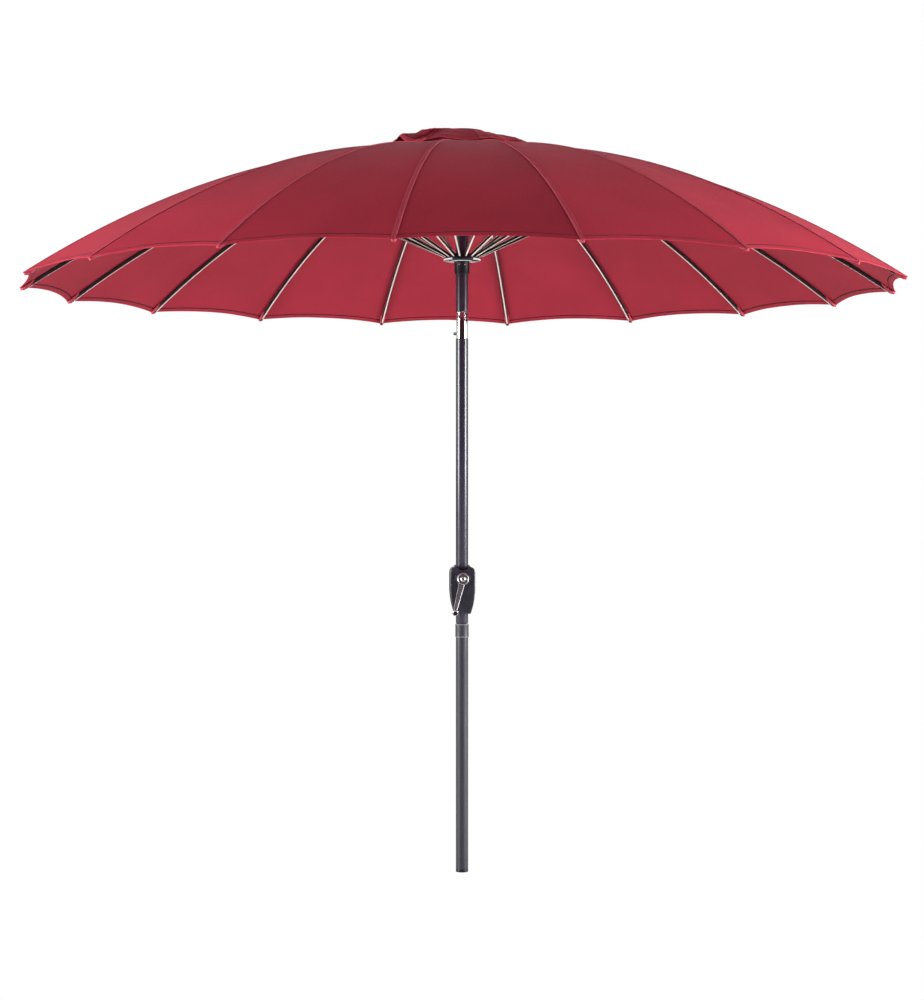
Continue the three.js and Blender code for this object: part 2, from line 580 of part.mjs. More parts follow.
// From the pulley down beside the upper pole to the runner.
function outerCordGeometry() {
  const run = postZ(CORD_RADIUS, RUNNER_TOP + 0.4, PULLEY_Z - CLEARANCE, 8);
  return turned(run.translate(CORD_OUTSIDE, 0, 0), CORD_AZIMUTH);
}

// ---------------------------------------------------------------- assembly

const finish = (color, roughness, metalness) =>
  new THREE.MeshStandardMaterial({ color, roughness, metalness });
const glossCoat = finish(0x2b2733, 0.3, 0.4);
const mattCoat = finish(0x504e58, 0.6, 0.3);
const darkPlastic = finish(0x3b3942, 0.55, 0);
const blackPlastic = finish(0x1c1a20, 0.5, 0);
const bright = finish(0xd8d8dc, 0.15, 1);
const ribMetal = finish(0xb9b3ac, 0.4, 0.7);
const cordWhite = finish(0xd9d6cf, 0.9, 0);
const fabricRed = finish(0x8f2f3e, 0.85, 0);

const group = new THREE.Group();

function add(parent, name, geometry, material) {
  const mesh = new THREE.Mesh(geometry, material);
  mesh.name = name;
  parent.add(mesh);
  return mesh;
}

const mast = new THREE.Group();
add(mast, 'pole_foot_plug', footPlugGeometry(), blackPlastic);
add(mast, 'lower_pole', lowerPoleGeometry(), mattCoat);
add(mast, 'pole_collar', collarGeometry(), mattCoat);
add(mast, 'middle_pole', middlePoleGeometry(), glossCoat);
add(mast, 'crank_housing_front', housingFrontGeometry(), darkPlastic);
add(mast, 'crank_housing_rear', housingRearGeometry(), darkPlastic);
add(mast, 'tilt_fork', tiltForkGeometry(), bright);
add(mast, 'tilt_pin', tiltPinGeometry(), bright);
add(mast, 'lift_cord_lower', lowerCordGeometry(), cordWhite);

const crank = new THREE.Group();
add(crank, 'crank_drum', crankDrumGeometry(), blackPlastic);
add(crank, 'crank_arm', crankArmGeometry(), darkPlastic);
add(crank, 'crank_knob', crankKnobGeometry(), bright);
mast.add(crank);
add(mast, 'tilt_button', tiltButtonGeometry(), darkPlastic);

const head = new THREE.Group();
add(head, 'tilt_knuckle', tiltKnuckleGeometry(), bright);
add(head, 'upper_pole', upperPoleGeometry(), glossCoat);
add(head, 'top_hub', topHubGeometry(), blackPlastic);
add(head, 'hub_wire_ring', hingeWire(HINGE_RADIUS, HINGE_Z, WIRE_RADIUS), bright);
add(head, 'lift_pulley', pulleyGeometry(), blackPlastic);
add(head, 'canopy', canopyGeometry(), fabricRed);
add(head, 'vent_cap', ventCapGeometry(), fabricRed);
add(head, 'cap_nut', capNutGeometry(), blackPlastic);
add(head, 'lift_cord_upper', upperCordGeometry(), cordWhite);
add(head, 'lift_cord_outer', outerCordGeometry(), cordWhite);
add(head, 'runner', runnerGeometry(), blackPlastic);

const rib = ribGeometry();
const strut = strutGeometry();
for (const [index, azimuth] of spokes().entries()) {
  const spoke = new THREE.Group();
  const number = String(index + 1).padStart(2, '0');
  add(spoke, `rib_${number}`, rib, ribMetal);
  add(spoke, `strut_${number}`, strut, ribMetal);
  spoke.rotation.z = radians(azimuth);
  head.add(spoke);
}

group.add(mast, head);

export default group;
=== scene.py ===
"""Patio umbrella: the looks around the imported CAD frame. Metres, +Z up, the crank faces -Y."""

import json
import math

import bpy
import bmesh
import numpy as np
from mathutils import Matrix, Vector, noise


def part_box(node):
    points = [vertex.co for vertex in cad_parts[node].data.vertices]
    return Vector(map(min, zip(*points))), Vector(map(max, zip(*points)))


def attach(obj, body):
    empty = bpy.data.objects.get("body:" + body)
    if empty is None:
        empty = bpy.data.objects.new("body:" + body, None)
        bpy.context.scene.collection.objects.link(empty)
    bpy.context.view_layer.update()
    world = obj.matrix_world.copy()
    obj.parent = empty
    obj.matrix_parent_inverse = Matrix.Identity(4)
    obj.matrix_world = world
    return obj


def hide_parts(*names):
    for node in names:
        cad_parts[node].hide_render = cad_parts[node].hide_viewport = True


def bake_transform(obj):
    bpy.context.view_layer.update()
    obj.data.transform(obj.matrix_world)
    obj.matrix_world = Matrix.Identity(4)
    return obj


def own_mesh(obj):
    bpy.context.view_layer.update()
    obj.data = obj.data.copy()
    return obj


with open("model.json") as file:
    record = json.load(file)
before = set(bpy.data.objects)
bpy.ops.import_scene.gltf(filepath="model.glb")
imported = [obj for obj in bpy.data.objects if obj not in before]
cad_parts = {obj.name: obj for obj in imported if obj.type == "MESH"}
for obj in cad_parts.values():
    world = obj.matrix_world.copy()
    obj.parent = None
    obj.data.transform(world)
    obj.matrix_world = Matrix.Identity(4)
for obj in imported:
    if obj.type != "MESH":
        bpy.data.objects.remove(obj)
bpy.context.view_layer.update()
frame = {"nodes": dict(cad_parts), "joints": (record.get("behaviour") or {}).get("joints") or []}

# ---------------- measures from the frame

MM = 0.001
RIBS = 18
STEP = 2 * math.pi / RIBS
CAP_PANELS = RIBS // 2

joints = {joint["name"]: joint for joint in frame["joints"]}
HINGE_RADIUS, _, HINGE_Z = joints["rib_01_fold"]["pos_m"]
STRUT_RADIUS, _, STRUT_Z = joints["strut_01_fold"]["pos_m"]
TILT_Z = joints["head_tilt"]["pos_m"][2]
TILT_AXIS = Vector(joints["head_tilt"]["axis"])
TILT_AZIMUTH = math.atan2(TILT_AXIS.y, TILT_AXIS.x)
BUTTON_AZIMUTH = TILT_AZIMUTH - math.pi / 2
CRANK_Z = joints["crank_turn"]["pos_m"][2]
KNOB = Vector(joints["knob_spin"]["pos_m"])

canopy_low, canopy_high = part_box("canopy")
CANOPY_SOLID = 1.5 * MM  # thickness of the canopy's CAD solid
CANOPY_RADIUS = canopy_high.x
RIM_Z = canopy_low.z + CANOPY_SOLID
LEVEL_RADIUS = 76 * MM  # where the fabric curve is level
VENT_RADIUS = 130 * MM
CURVE_SPAN = CANOPY_RADIUS - LEVEL_RADIUS
CROWN_RISE = (canopy_high.z - RIM_Z) / (1 - ((VENT_RADIUS - LEVEL_RADIUS) / CURVE_SPAN) ** 2)
HEM_SCALLOP = 20 * MM
RIB_GAP = 2.5 * MM  # from the fabric's middle down to a rib's top

POLE_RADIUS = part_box("lower_pole")[1].x
RUNNER_LOW, RUNNER_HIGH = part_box("runner")
WIRE_RADIUS = 1.5 * MM
STRUT_FOOT_RADIUS = 47 * MM
STRUT_FOOT_Z = RUNNER_HIGH.z - 9 * MM


def fabric_z(radius):
    return RIM_Z + CROWN_RISE * (1 - ((radius - LEVEL_RADIUS) / CURVE_SPAN) ** 2)


def rib_name(index):
    return f"rib_{index % RIBS + 1:02d}"


def spoke(azimuth, radius=1.0, z=0.0):
    return Vector((radius * math.cos(azimuth), radius * math.sin(azimuth), z))


# ---------------- shader building

NOISE_SEEDS = iter(range(1, 200))


def feed(tree, socket, source):
    """Links a socket to another one, or sets it to a value."""
    if isinstance(source, bpy.types.NodeSocket):
        tree.links.new(source, socket)
    else:
        socket.default_value = source


def node(tree, kind, sources=(), **settings):
    """A new node with its settings, and its inputs linked to sockets or set to values."""
    made = tree.nodes.new(kind)
    for key, value in settings.items():
        setattr(made, key, value)
    for socket, source in dict(sources).items():
        feed(tree, made.inputs[socket], source)
    return made


def map_range(tree, value, low, high, to_low=0.0, to_high=1.0):
    sources = {"Value": value, "From Min": low, "From Max": high, "To Min": to_low, "To Max": to_high}
    return node(tree, "ShaderNodeMapRange", sources).outputs["Result"]


class Shader:
    """A node tree around one Principled shader."""

    def __init__(self, name, color, roughness, metallic=0.0, **fixed):
        self.material = bpy.data.materials.new(name)
        self.material.use_nodes = True
        self.tree = self.material.node_tree
        self.shader = self.tree.nodes["Principled BSDF"]
        self.set("Base Color", (*color, 1))
        self.set("Roughness", roughness)
        self.set("Metallic", metallic)
        for socket, value in fixed.items():
            self.set(socket.replace("_", " "), value)
        self.color = color
        self.roughness = roughness
        self.height = None

    def set(self, socket, source):
        feed(self.tree, self.shader.inputs[socket], source)

    def node(self, kind, sources=(), **settings):
        return node(self.tree, kind, sources, **settings)

    def math(self, operation, *sources):
        return self.node("ShaderNodeMath", enumerate(sources), operation=operation).outputs[0]

    def mapped(self, *values):
        return map_range(self.tree, *values)

    def mix(self, factor, first, second):
        sources = {"Factor": factor, 6: first, 7: second}
        return self.node("ShaderNodeMix", sources, data_type="RGBA").outputs[2]

    def noise(self, scale, detail=3.0, stretch=(1, 1, 1)):
        """Noise on the piece itself, with a seed of its own."""
        place = {
            "Vector": self.node("ShaderNodeTexCoord").outputs["Object"],
            "Scale": stretch,
            "Location": (next(NOISE_SEEDS) * 1.7, 0.3, 0.9),
        }
        vector = self.node("ShaderNodeMapping", place).outputs["Vector"]
        sources = {"Scale": scale, "Detail": detail, "Vector": vector}
        return self.node("ShaderNodeTexNoise", sources).outputs["Fac"]

    def uv(self, layer):
        place = self.node("ShaderNodeUVMap", uv_map=layer).outputs[0]
        parts = self.node("ShaderNodeSeparateXYZ", {0: place})
        return parts.outputs[0], parts.outputs[1]

    def vary_color(self, factor, lighter, darker):
        light = tuple(min(1, part * lighter) for part in self.color) + (1,)
        dark = tuple(part * darker for part in self.color) + (1,)
        return self.mix(factor, dark, light)

    def paint(self, source):
        self.set("Base Color", source)

    def vary_roughness(self, factor, spread):
        low, high = max(0.02, self.roughness - spread), min(1, self.roughness + spread)
        self.set("Roughness", self.mapped(factor, 0.3, 0.7, low, high))

    def bump(self, height, distance, strength=1.0):
        """Relief on top of the relief there is so far."""
        sources = {"Distance": distance, "Strength": strength, "Height": height}
        if self.height is not None:
            sources["Normal"] = self.height
        self.height = self.node("ShaderNodeBump", sources).outputs["Normal"]
        self.set("Normal", self.height)


def painted_metal(name, color, roughness, peel, coat=0.4):
    """Powder coat or enamel: orange peel, faint clouding, and fine rubbed lines along the pole."""
    made = Shader(name, color, roughness, Coat_Weight=coat, Coat_Roughness=0.12)
    clouds = made.noise(14, 4)
    made.paint(made.vary_color(clouds, 1.25, 0.82))
    made.vary_roughness(made.noise(60, 5, (1, 1, 0.12)), 0.07)
    made.bump(made.noise(900, 2), peel)
    made.bump(made.noise(1500, 2, (1, 1, 0.01)), 0.00002, 0.4)
    return made.material


def plastic(name, color, roughness, shine=0.5, grain=0.00006):
    """Moulded plastic: fine spark-eroded grain and a slightly uneven gloss."""
    made = Shader(name, color, roughness, Specular_IOR_Level=shine)
    made.paint(made.vary_color(made.noise(22, 4), 1.2, 0.85))
    made.vary_roughness(made.noise(45, 4), 0.08)
    made.bump(made.noise(1800, 3), grain, 0.6)
    return made.material


def bright_metal(name, color, roughness, brush=(1, 1, 0.02)):
    """Plated or brushed metal: fine directional lines and handling marks."""
    made = Shader(name, color, roughness, 1.0)
    made.paint(made.vary_color(made.noise(30, 4), 1.06, 0.9))
    made.vary_roughness(made.noise(700, 3, brush), 0.05)
    made.bump(made.noise(1400, 2, brush), 0.00002, 0.3)
    return made.material


def braided_cord(name, color):
    made = Shader(name, color, 0.85, Sheen_Weight=0.3)
    strands = made.noise(700, 2, (1, 1, 0.5))
    made.paint(made.vary_color(strands, 1.3, 0.7))
    made.bump(strands, 0.0003)
    return made.material


THREAD_PERIOD = 1.1 * MM  # of the weave
STITCH_PERIOD = 3.6 * MM
DASH = 0.3  # a stitch shows where its wave is higher
HEM_STITCH = 16.8 * MM  # stitch line's distance from the hem's edge
SEAM_STITCH = 7.4 * MM
HEM_FOLD = 19.5 * MM  # the inner edge of the hem
SEAM_PAINTED_SHADE = 0.3  # painted shade: how dark the cloth is painted beside a seam
# painted shade: how dark the cloth is painted along the hem's fold
HEM_FOLD_PAINTED_SHADE = 0.15
HEM_EDGE_PAINTED_HIGHLIGHT = 1.2  # painted highlight: how bright the cloth is painted along its very edge


def woven_fabric(name, color, thread_color, seam_painted_shade=None):
    """Coated polyester canvas: plain weave, sheen, faint slubs, its stitches, painted shade beside seams and
    along the hem's fold, and a painted highlight along the hem's edge.
    """
    made = Shader(
        name, color, 0.5,
        Sheen_Weight=0.04, Sheen_Roughness=0.3, Sheen_Tint=(1.0, 0.7, 0.76, 1), Specular_IOR_Level=0.1,
    )
    across, along = made.uv("Cloth")
    from_seam, from_hem = made.uv("Edges")

    def wave(source, period):
        return made.mapped(made.math("SINE", made.math("MULTIPLY", source, 2 * math.pi / period)), -1.0, 1.0)

    weave = made.math("ADD", wave(across, THREAD_PERIOD), wave(along, THREAD_PERIOD))
    slubs = made.noise(260, 3, (1, 1, 0.25))
    clouds = made.noise(5, 4)
    tone = made.math("ADD", made.math("MULTIPLY", clouds, 0.55), made.math("MULTIPLY", slubs, 0.45))
    cloth = made.vary_color(made.mapped(tone, 0.3, 0.7), 1.14, 0.88)
    hem_line = made.math("COMPARE", from_hem, HEM_STITCH, 0.7 * MM)
    seam_line = made.math("COMPARE", from_seam, SEAM_STITCH, 0.6 * MM)
    hem_dash = made.math("GREATER_THAN", wave(across, STITCH_PERIOD), DASH)
    seam_dash = made.math("GREATER_THAN", wave(along, STITCH_PERIOD), DASH)
    hem_thread = made.math("MULTIPLY", hem_line, hem_dash)
    stitches = made.math("MAXIMUM", hem_thread, made.math("MULTIPLY", seam_line, seam_dash))
    painted = made.mix(stitches, cloth, (*thread_color, 1))
    # Painted light: shade painted beside seams and along the hem's fold, and a highlight painted along the
    # hem's edge.
    if seam_painted_shade:
        painted_shade_beside_seam = made.mapped(from_seam, 7 * MM, 10.5 * MM, seam_painted_shade, 1.0)
        off_fold = made.math("ABSOLUTE", made.math("SUBTRACT", from_hem, HEM_FOLD))
        painted_shade_at_fold = made.mapped(off_fold, 1.6 * MM, 3.2 * MM, HEM_FOLD_PAINTED_SHADE, 1.0)
        painted_highlight_at_edge = made.mapped(from_hem, 1.5 * MM, 4.5 * MM, HEM_EDGE_PAINTED_HIGHLIGHT, 1.0)
        shade = made.math("MULTIPLY", made.math("MULTIPLY", painted_shade_beside_seam, painted_shade_at_fold), painted_highlight_at_edge)
        scaled = {0: painted, "Scale": shade}
        painted = made.node("ShaderNodeVectorMath", scaled, operation="SCALE").outputs[0]
    made.paint(painted)
    made.vary_roughness(slubs, 0.08)
    made.bump(weave, 0.00009, 0.7)
    made.bump(made.noise(90, 3), 0.0003, 0.5)
    made.bump(stitches, 0.0005)
    return made.material


# The last number is how dark the painted shade beside seams is: darker on the canopy than on the cap.
FABRIC = woven_fabric("canopy_fabric", (0.36, 0.024, 0.044), (0.52, 0.08, 0.12), SEAM_PAINTED_SHADE)
CAP_FABRIC = woven_fabric("cap_fabric", (0.33, 0.028, 0.048), (0.52, 0.08, 0.12), 0.8)
# Welts and tip pockets: the canopy's cloth painted lighter, a painted highlight on the raised cloth.
WELT_PAINTED_HIGHLIGHT = woven_fabric("canopy_welt_painted_highlight", (0.46, 0.055, 0.085), (0.3, 0.02, 0.04))
MATT_COAT = painted_metal("matt_pole_coat", (0.013, 0.013, 0.022), 0.55, 0.00006, coat=0.1)
GLOSS_COAT = painted_metal("gloss_pole_coat", (0.022, 0.018, 0.032), 0.24, 0.000006, coat=0.15)
RIB_PAINT = painted_metal("rib_paint", (0.006, 0.005, 0.006), 0.4, 0.00002, coat=0.0)
COLLAR_PLASTIC = plastic("collar_plastic", (0.020, 0.019, 0.029), 0.5)
HOUSING_PLASTIC = plastic("housing_plastic", (0.020, 0.018, 0.027), 0.3)
ARM_PLASTIC = plastic("arm_plastic", (0.06, 0.052, 0.062), 0.34)
BLACK_PLASTIC = plastic("black_plastic", (0.008, 0.007, 0.012), 0.42, shine=0.22)
CHROME = bright_metal("tilt_chrome", (0.80, 0.80, 0.82), 0.12)
STEEL = bright_metal("wire_steel", (0.72, 0.71, 0.70), 0.25)
# Painted reflection: light strips on the black ribs and struts stand in for the floor's reflection in their
# paint.
FLOOR_REFLECTION_PAINT = painted_metal("rib_edge", (0.80, 0.71, 0.65), 0.3, 0.00002)
# Painted highlight: the runner's hoops are painted near white, standing in for bright reflections on their
# metal.
HOOP_PAINTED_HIGHLIGHT = painted_metal("hoop_painted_highlight", (0.86, 0.86, 0.88), 0.2, 0.00002)
# Painted highlights: a bright strip and a dim strip stand in for light on rounded edges.
BRIGHT_PAINTED_HIGHLIGHT = painted_metal("arm_painted_highlight", (0.85, 0.82, 0.82), 0.3, 0.00002)
DIM_PAINTED_HIGHLIGHT = painted_metal("painted_highlight_dim", (0.3, 0.28, 0.3), 0.35, 0.00002)
HUB_SATIN = bright_metal("hub_satin", (0.6, 0.6, 0.62), 0.25)
CORD = braided_cord("lift_cord", (0.035, 0.032, 0.036))

# ---------------- shape building
# A shape is a list of points and a list of faces.


def in_metres(pairs, lift=0.0):
    """Pairs drawn in millimetres, the second of each raised by a length in metres."""
    return [(first * MM, lift + second * MM) for first, second in pairs]


def lathe(profile, segments=72, start=0.0, turn=2 * math.pi):
    """A closed profile of (radius, z) points turned about Z, all the way round or part of it."""
    whole = turn > 2 * math.pi - 1e-6
    columns = segments if whole else segments + 1
    angles = [start + turn * i / segments for i in range(columns)]
    count = len(profile)
    points = [(r * math.cos(a), r * math.sin(a), z) for a in angles for r, z in profile]
    faces = []
    for i in range(segments):
        here, there = i * count, (i + 1) % columns * count
        for j in range(count):
            after = (j + 1) % count
            faces.append((here + j, there + j, there + after, here + after))
    if not whole:
        faces.append(tuple(range(count)))
        faces.append(tuple(range((columns - 1) * count, columns * count)))
    return points, faces


def prism(outline, low, high):
    """An outline of (x, z) points with its thickness along Y."""
    count = len(outline)
    points = [(x, low, z) for x, z in outline] + [(x, high, z) for x, z in outline]
    sides = [(i, (i + 1) % count, (i + 1) % count + count, i + count) for i in range(count)]
    return points, [tuple(range(count)), tuple(range(count, 2 * count)), *sides]


def skin(rings, count):
    """Faces of a closed body through rings of count points each, flat at both ends."""
    faces = [tuple(range(count)), tuple(range((rings - 1) * count, rings * count))]
    for i in range(rings - 1):
        for j in range(count):
            after = (j + 1) % count
            faces.append((i * count + j, i * count + after, (i + 1) * count + after, (i + 1) * count + j))
    return faces


def swept(line, section):
    """A section of (side, up) points carried along a line of (x, z) points in the plane y = 0."""
    points = []
    for i, (x, z) in enumerate(line):
        before, after = line[max(0, i - 1)], line[min(len(line) - 1, i + 1)]
        along = Vector((after[0] - before[0], after[1] - before[1])).normalized()
        points += [(x - along.y * up, side, z + along.x * up) for side, up in section]
    return points, skin(len(line), len(section))


def ring_wire(radius, z, thickness, sides=10):
    """A round wire bent to a ring."""
    angles = [2 * math.pi * j / sides for j in range(sides)]
    return lathe([(radius + thickness * math.cos(a), z + thickness * math.sin(a)) for a in angles], 96)


def moved(shape, matrix):
    points, faces = shape
    return [matrix @ Vector(point) for point in points], faces


def turned(shape, azimuth):
    return moved(shape, Matrix.Rotation(azimuth, 4, "Z"))


def facing(shape, x=0.0, y=0.0, z=0.0):
    """A shape drawn about Z, laid over so that its top faces -Y, at a place."""
    return moved(shape, Matrix.Translation((x, y, z)) @ Matrix.Rotation(math.pi / 2, 4, "X"))


def combined(*shapes):
    points, faces = [], []
    for more_points, more_faces in shapes:
        first = len(points)
        points += list(more_points)
        faces += [tuple(first + i for i in face) for face in more_faces]
    return points, faces


SHARP_ANGLE = math.radians(32)


def new_object(name, data):
    made = bpy.data.objects.new(name, data)
    bpy.context.scene.collection.objects.link(made)
    return made


def mesh_object(name, shape, material, uvs=None):
    mesh = bpy.data.meshes.new(name)
    mesh.from_pydata([tuple(point) for point in shape[0]], [], shape[1])
    for layer, values in (uvs or {}).items():
        loops = np.empty(len(mesh.loops), np.int32)
        mesh.loops.foreach_get("vertex_index", loops)
        mesh.uv_layers.new(name=layer).data.foreach_set("uv", np.asarray(values, np.float32)[loops].ravel())
    work = bmesh.new()
    work.from_mesh(mesh)
    bmesh.ops.remove_doubles(work, verts=work.verts, dist=1e-6)
    bmesh.ops.recalc_face_normals(work, faces=work.faces)
    work.to_mesh(mesh)
    work.free()
    mesh.materials.append(material)
    mesh.shade_smooth()
    mesh.set_sharp_from_angle(angle=SHARP_ANGLE)
    return new_object(name, mesh)


def soften(obj, width, segments=3):
    """Rounds the sharp edges of a hard piece."""
    bevel = obj.modifiers.new("edges", "BEVEL")
    bevel.width = width
    bevel.segments = segments
    bevel.limit_method = "ANGLE"
    bevel.angle_limit = SHARP_ANGLE
    bevel.use_clamp_overlap = True


def carve(obj, *tools):
    """Cuts tool shapes out of an object and applies the cuts."""
    cutters = []
    for number, tool in enumerate(tools):
        cutter = mesh_object(f"{obj.name}_tool_{number}", tool, obj.data.materials[0])
        modifier = obj.modifiers.new("carve", "BOOLEAN")
        modifier.operation = "DIFFERENCE"
        modifier.object = cutter
        modifier.solver = "EXACT"
        cutters.append(cutter)
    bpy.context.view_layer.update()
    made = bpy.data.meshes.new_from_object(obj.evaluated_get(bpy.context.evaluated_depsgraph_get()))
    obj.modifiers.clear()
    obj.data = made
    for cutter in cutters:
        bpy.data.objects.remove(cutter)
    made.shade_smooth()
    made.set_sharp_from_angle(angle=SHARP_ANGLE)


def belongs(obj, body, slot, *replaced):
    """Puts a finished piece on its body and hides the CAD nodes it stands for. The slot is not used."""
    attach(obj, body)
    if replaced:
        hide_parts(*replaced)
    return obj


def piece(name, shape, material, body, slot, *replaced, edge=0.0, steps=2, uvs=None):
    """A mesh that rides a body, its sharp edges rounded where a width is given."""
    made = mesh_object(name, shape, material, uvs)
    if edge:
        soften(made, edge, steps)
    return belongs(made, body, slot, *replaced)


def disc(radius, low, high, segments=48):
    """A round bar about Z."""
    return lathe([(0, low), (radius, low), (radius, high), (0, high)], segments)


# ---------------- cloth

HEM_ROWS = [MM * d for d in (0, 1.2, 6, 12, 16.0, 16.8, 17.6, 19.0, 20.5, 26)]
HEM_THICKNESS = [MM * t for t in (0.3, 0.9, 0.9, 0.9, 0.9, 0.5, 0.9, 0.9, 0.4, 0.4)]


def distances(grid):
    """Cloth coordinates in metres: across from the middle, up from the hem, and from the nearest seam."""
    steps = np.linalg.norm(np.diff(grid, axis=1), axis=2)
    width = steps.sum(axis=1, keepdims=True)
    across = np.concatenate([np.zeros((len(grid), 1)), np.cumsum(steps, axis=1)], axis=1)
    rises = np.linalg.norm(np.diff(grid, axis=0), axis=2)
    up = np.concatenate([np.cumsum(rises[::-1], axis=0)[::-1], np.zeros((1, grid.shape[1]))])
    return across - width / 2, up, np.minimum(across, width - across)


def cloth(name, grid, material):
    """A closed two-sided cloth round a grid of middle points, with a sewn hem along its last row."""
    across, up, from_seam = distances(grid)
    thickness = np.interp(up, HEM_ROWS, HEM_THICKNESS)[..., None]
    normal = np.cross(np.gradient(grid, axis=1), np.gradient(grid, axis=0))
    normal /= np.linalg.norm(normal, axis=2, keepdims=True)
    normal *= np.where(normal[..., 2:] < 0, -1, 1)
    sides = (grid + normal * thickness, grid - normal * thickness)
    points = np.concatenate([side.reshape(-1, 3) for side in sides])
    rows, columns = grid.shape[:2]
    layer = rows * columns
    faces = []
    for j in range(rows - 1):
        for i in range(columns - 1):
            a = j * columns + i
            quad = (a, a + 1, a + columns + 1, a + columns)
            faces.append(quad)
            faces.append(tuple(layer + corner for corner in reversed(quad)))
    rim = list(range(columns))
    rim += [j * columns + columns - 1 for j in range(1, rows)]
    rim += [(rows - 1) * columns + i for i in range(columns - 2, -1, -1)]
    rim += [j * columns for j in range(rows - 2, 0, -1)]
    for here, there in zip(rim, rim[1:] + rim[:1]):
        faces.append((here, layer + here, layer + there, there))
    pairs = {"Cloth": (across, up), "Edges": (from_seam, up)}
    uvs = {name: np.concatenate([np.stack(pair, axis=2).reshape(-1, 2)] * 2) for name, pair in pairs.items()}
    return mesh_object(name, (points.tolist(), faces), material, uvs)


GORE_COLUMNS = 25
GORE_ROWS = 44
SAG = 3 * MM  # how far the middle of a gore is drawn in by its tension


def gore_grid(index):
    """Middle points of the cloth from rib index to the next, [row][column], from the vent to the hem."""
    span = CANOPY_RADIUS - VENT_RADIUS
    u = np.linspace(0, 1, GORE_COLUMNS)[None, :]
    open_rows = np.linspace(0, 1 - HEM_ROWS[-1] / span, GORE_ROWS, endpoint=False)
    v = np.concatenate([open_rows, [1 - d / span for d in reversed(HEM_ROWS)]])[:, None]
    hem_radius = CANOPY_RADIUS - HEM_SCALLOP * 4 * u * (1 - u)
    radius = VENT_RADIUS + (hem_radius - VENT_RADIUS) * v
    z = fabric_z(radius)
    first, second = index * STEP, (index + 1) * STEP
    x = radius * ((1 - u) * math.cos(first) + u * math.cos(second))
    y = radius * ((1 - u) * math.sin(first) + u * math.sin(second))
    grid = np.stack([x, y, z], axis=2)
    bulge = np.sin(math.pi * u) * np.sin(math.pi * (0.15 + 0.75 * v))
    ripple = np.array([[noise.noise(Vector(point) * 5.5) for point in row] for row in grid])
    shift = Vector((3, 1, 2))
    fine = np.array([[noise.noise(Vector(point) * 21 + shift) for point in row] for row in grid])
    inward = SAG * bulge + np.sin(math.pi * u) * (1.6 * MM * ripple + 0.5 * MM * fine)
    slope = 2 * CROWN_RISE * (radius - LEVEL_RADIUS) / CURVE_SPAN ** 2
    length = np.sqrt(1 + slope ** 2)
    middle = (index + 0.5) * STEP
    grid[..., 0] -= inward * slope / length * math.cos(middle)
    grid[..., 1] -= inward * slope / length * math.sin(middle)
    grid[..., 2] -= inward / length
    return grid


def make_gore(index):
    made = cloth(f"gore_{index + 1:02d}", gore_grid(index), FABRIC)
    belongs(made, rib_name(index), "canopy_fabric", "canopy")
    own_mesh(made)
    return made


def rib_line(start, end, count, below):
    """Points (radius, z) under the fabric's middle along a rib."""
    radii = [start + (end - start) * i / (count - 1) for i in range(count)]
    return [(radius, fabric_z(radius) - below) for radius in radii]


SEAM_ROW = 4.4  # millimetres from the seam's middle to a row of stitches
SEAM_SECTION = in_metres([
    (-6.5, -0.3), (-6.2, 1.3), (-SEAM_ROW, 1.7), (-1.2, 1.5), (0, 0.9), (1.2, 1.5), (SEAM_ROW, 1.7),
    (6.2, 1.3), (6.5, -0.3), (5, -1.1), (-5, -1.1),
])


def make_seam(index):
    """The folded seam over a rib: two rows of stitching on a raised welt."""
    line = rib_line(VENT_RADIUS - 2 * MM, CANOPY_RADIUS - 1 * MM, 60, 0)
    shape = turned(swept(line, SEAM_SECTION), index * STEP)
    along = np.repeat(np.linspace(1.3, 0, len(line)), len(SEAM_SECTION))
    side = np.tile([side for side, _ in SEAM_SECTION], len(line))
    cloth_uv = np.stack([side, along], axis=1)
    edge_uv = np.stack([SEAM_STITCH + np.abs(np.abs(side) - SEAM_ROW * MM), np.ones(len(along))], axis=1)
    uvs = {"Cloth": cloth_uv, "Edges": edge_uv}
    return piece(f"seam_{index + 1:02d}", shape, WELT_PAINTED_HIGHLIGHT, rib_name(index), "canopy_fabric", "canopy", uvs=uvs)


POCKET_SIDES = 16
POCKET_STATIONS = (  # back from the rim, half width and depth, in millimetres
    (-46, 8.0, 1.2), (-43, 9.5, 8.5), (-30, 9.2, 14.2), (-12, 7.6, 13.8), (-4, 5.2, 9.5), (-1.5, 2.6, 3.5),
)


def make_pocket(index):
    """The stitched pocket that holds a rib's tip."""
    points = []
    for back, half, deep in POCKET_STATIONS:
        radius = CANOPY_RADIUS + back * MM
        for i in range(POCKET_SIDES):
            angle = 2 * math.pi * i / POCKET_SIDES
            side = half * MM * math.copysign(abs(math.cos(angle)) ** 0.7, math.cos(angle))
            drop = deep * MM * (0.5 - 0.5 * math.sin(angle)) + 0.4 * MM
            points.append((radius, side, fabric_z(radius) - drop))
    shape = turned((points, skin(len(POCKET_STATIONS), POCKET_SIDES)), index * STEP)
    cloth_uv = [(point[1], CANOPY_RADIUS - point[0]) for point in points]
    uvs = {"Cloth": cloth_uv, "Edges": [(1.0, 1.0)] * len(points)}
    name = f"tip_pocket_{index + 1:02d}"
    return piece(name, shape, WELT_PAINTED_HIGHLIGHT, rib_name(index), "canopy_fabric", "canopy", uvs=uvs)


for index in range(RIBS):
    gore = make_gore(index)
    seam = make_seam(index)
    pocket = make_pocket(index)

# ---------------- vent cap

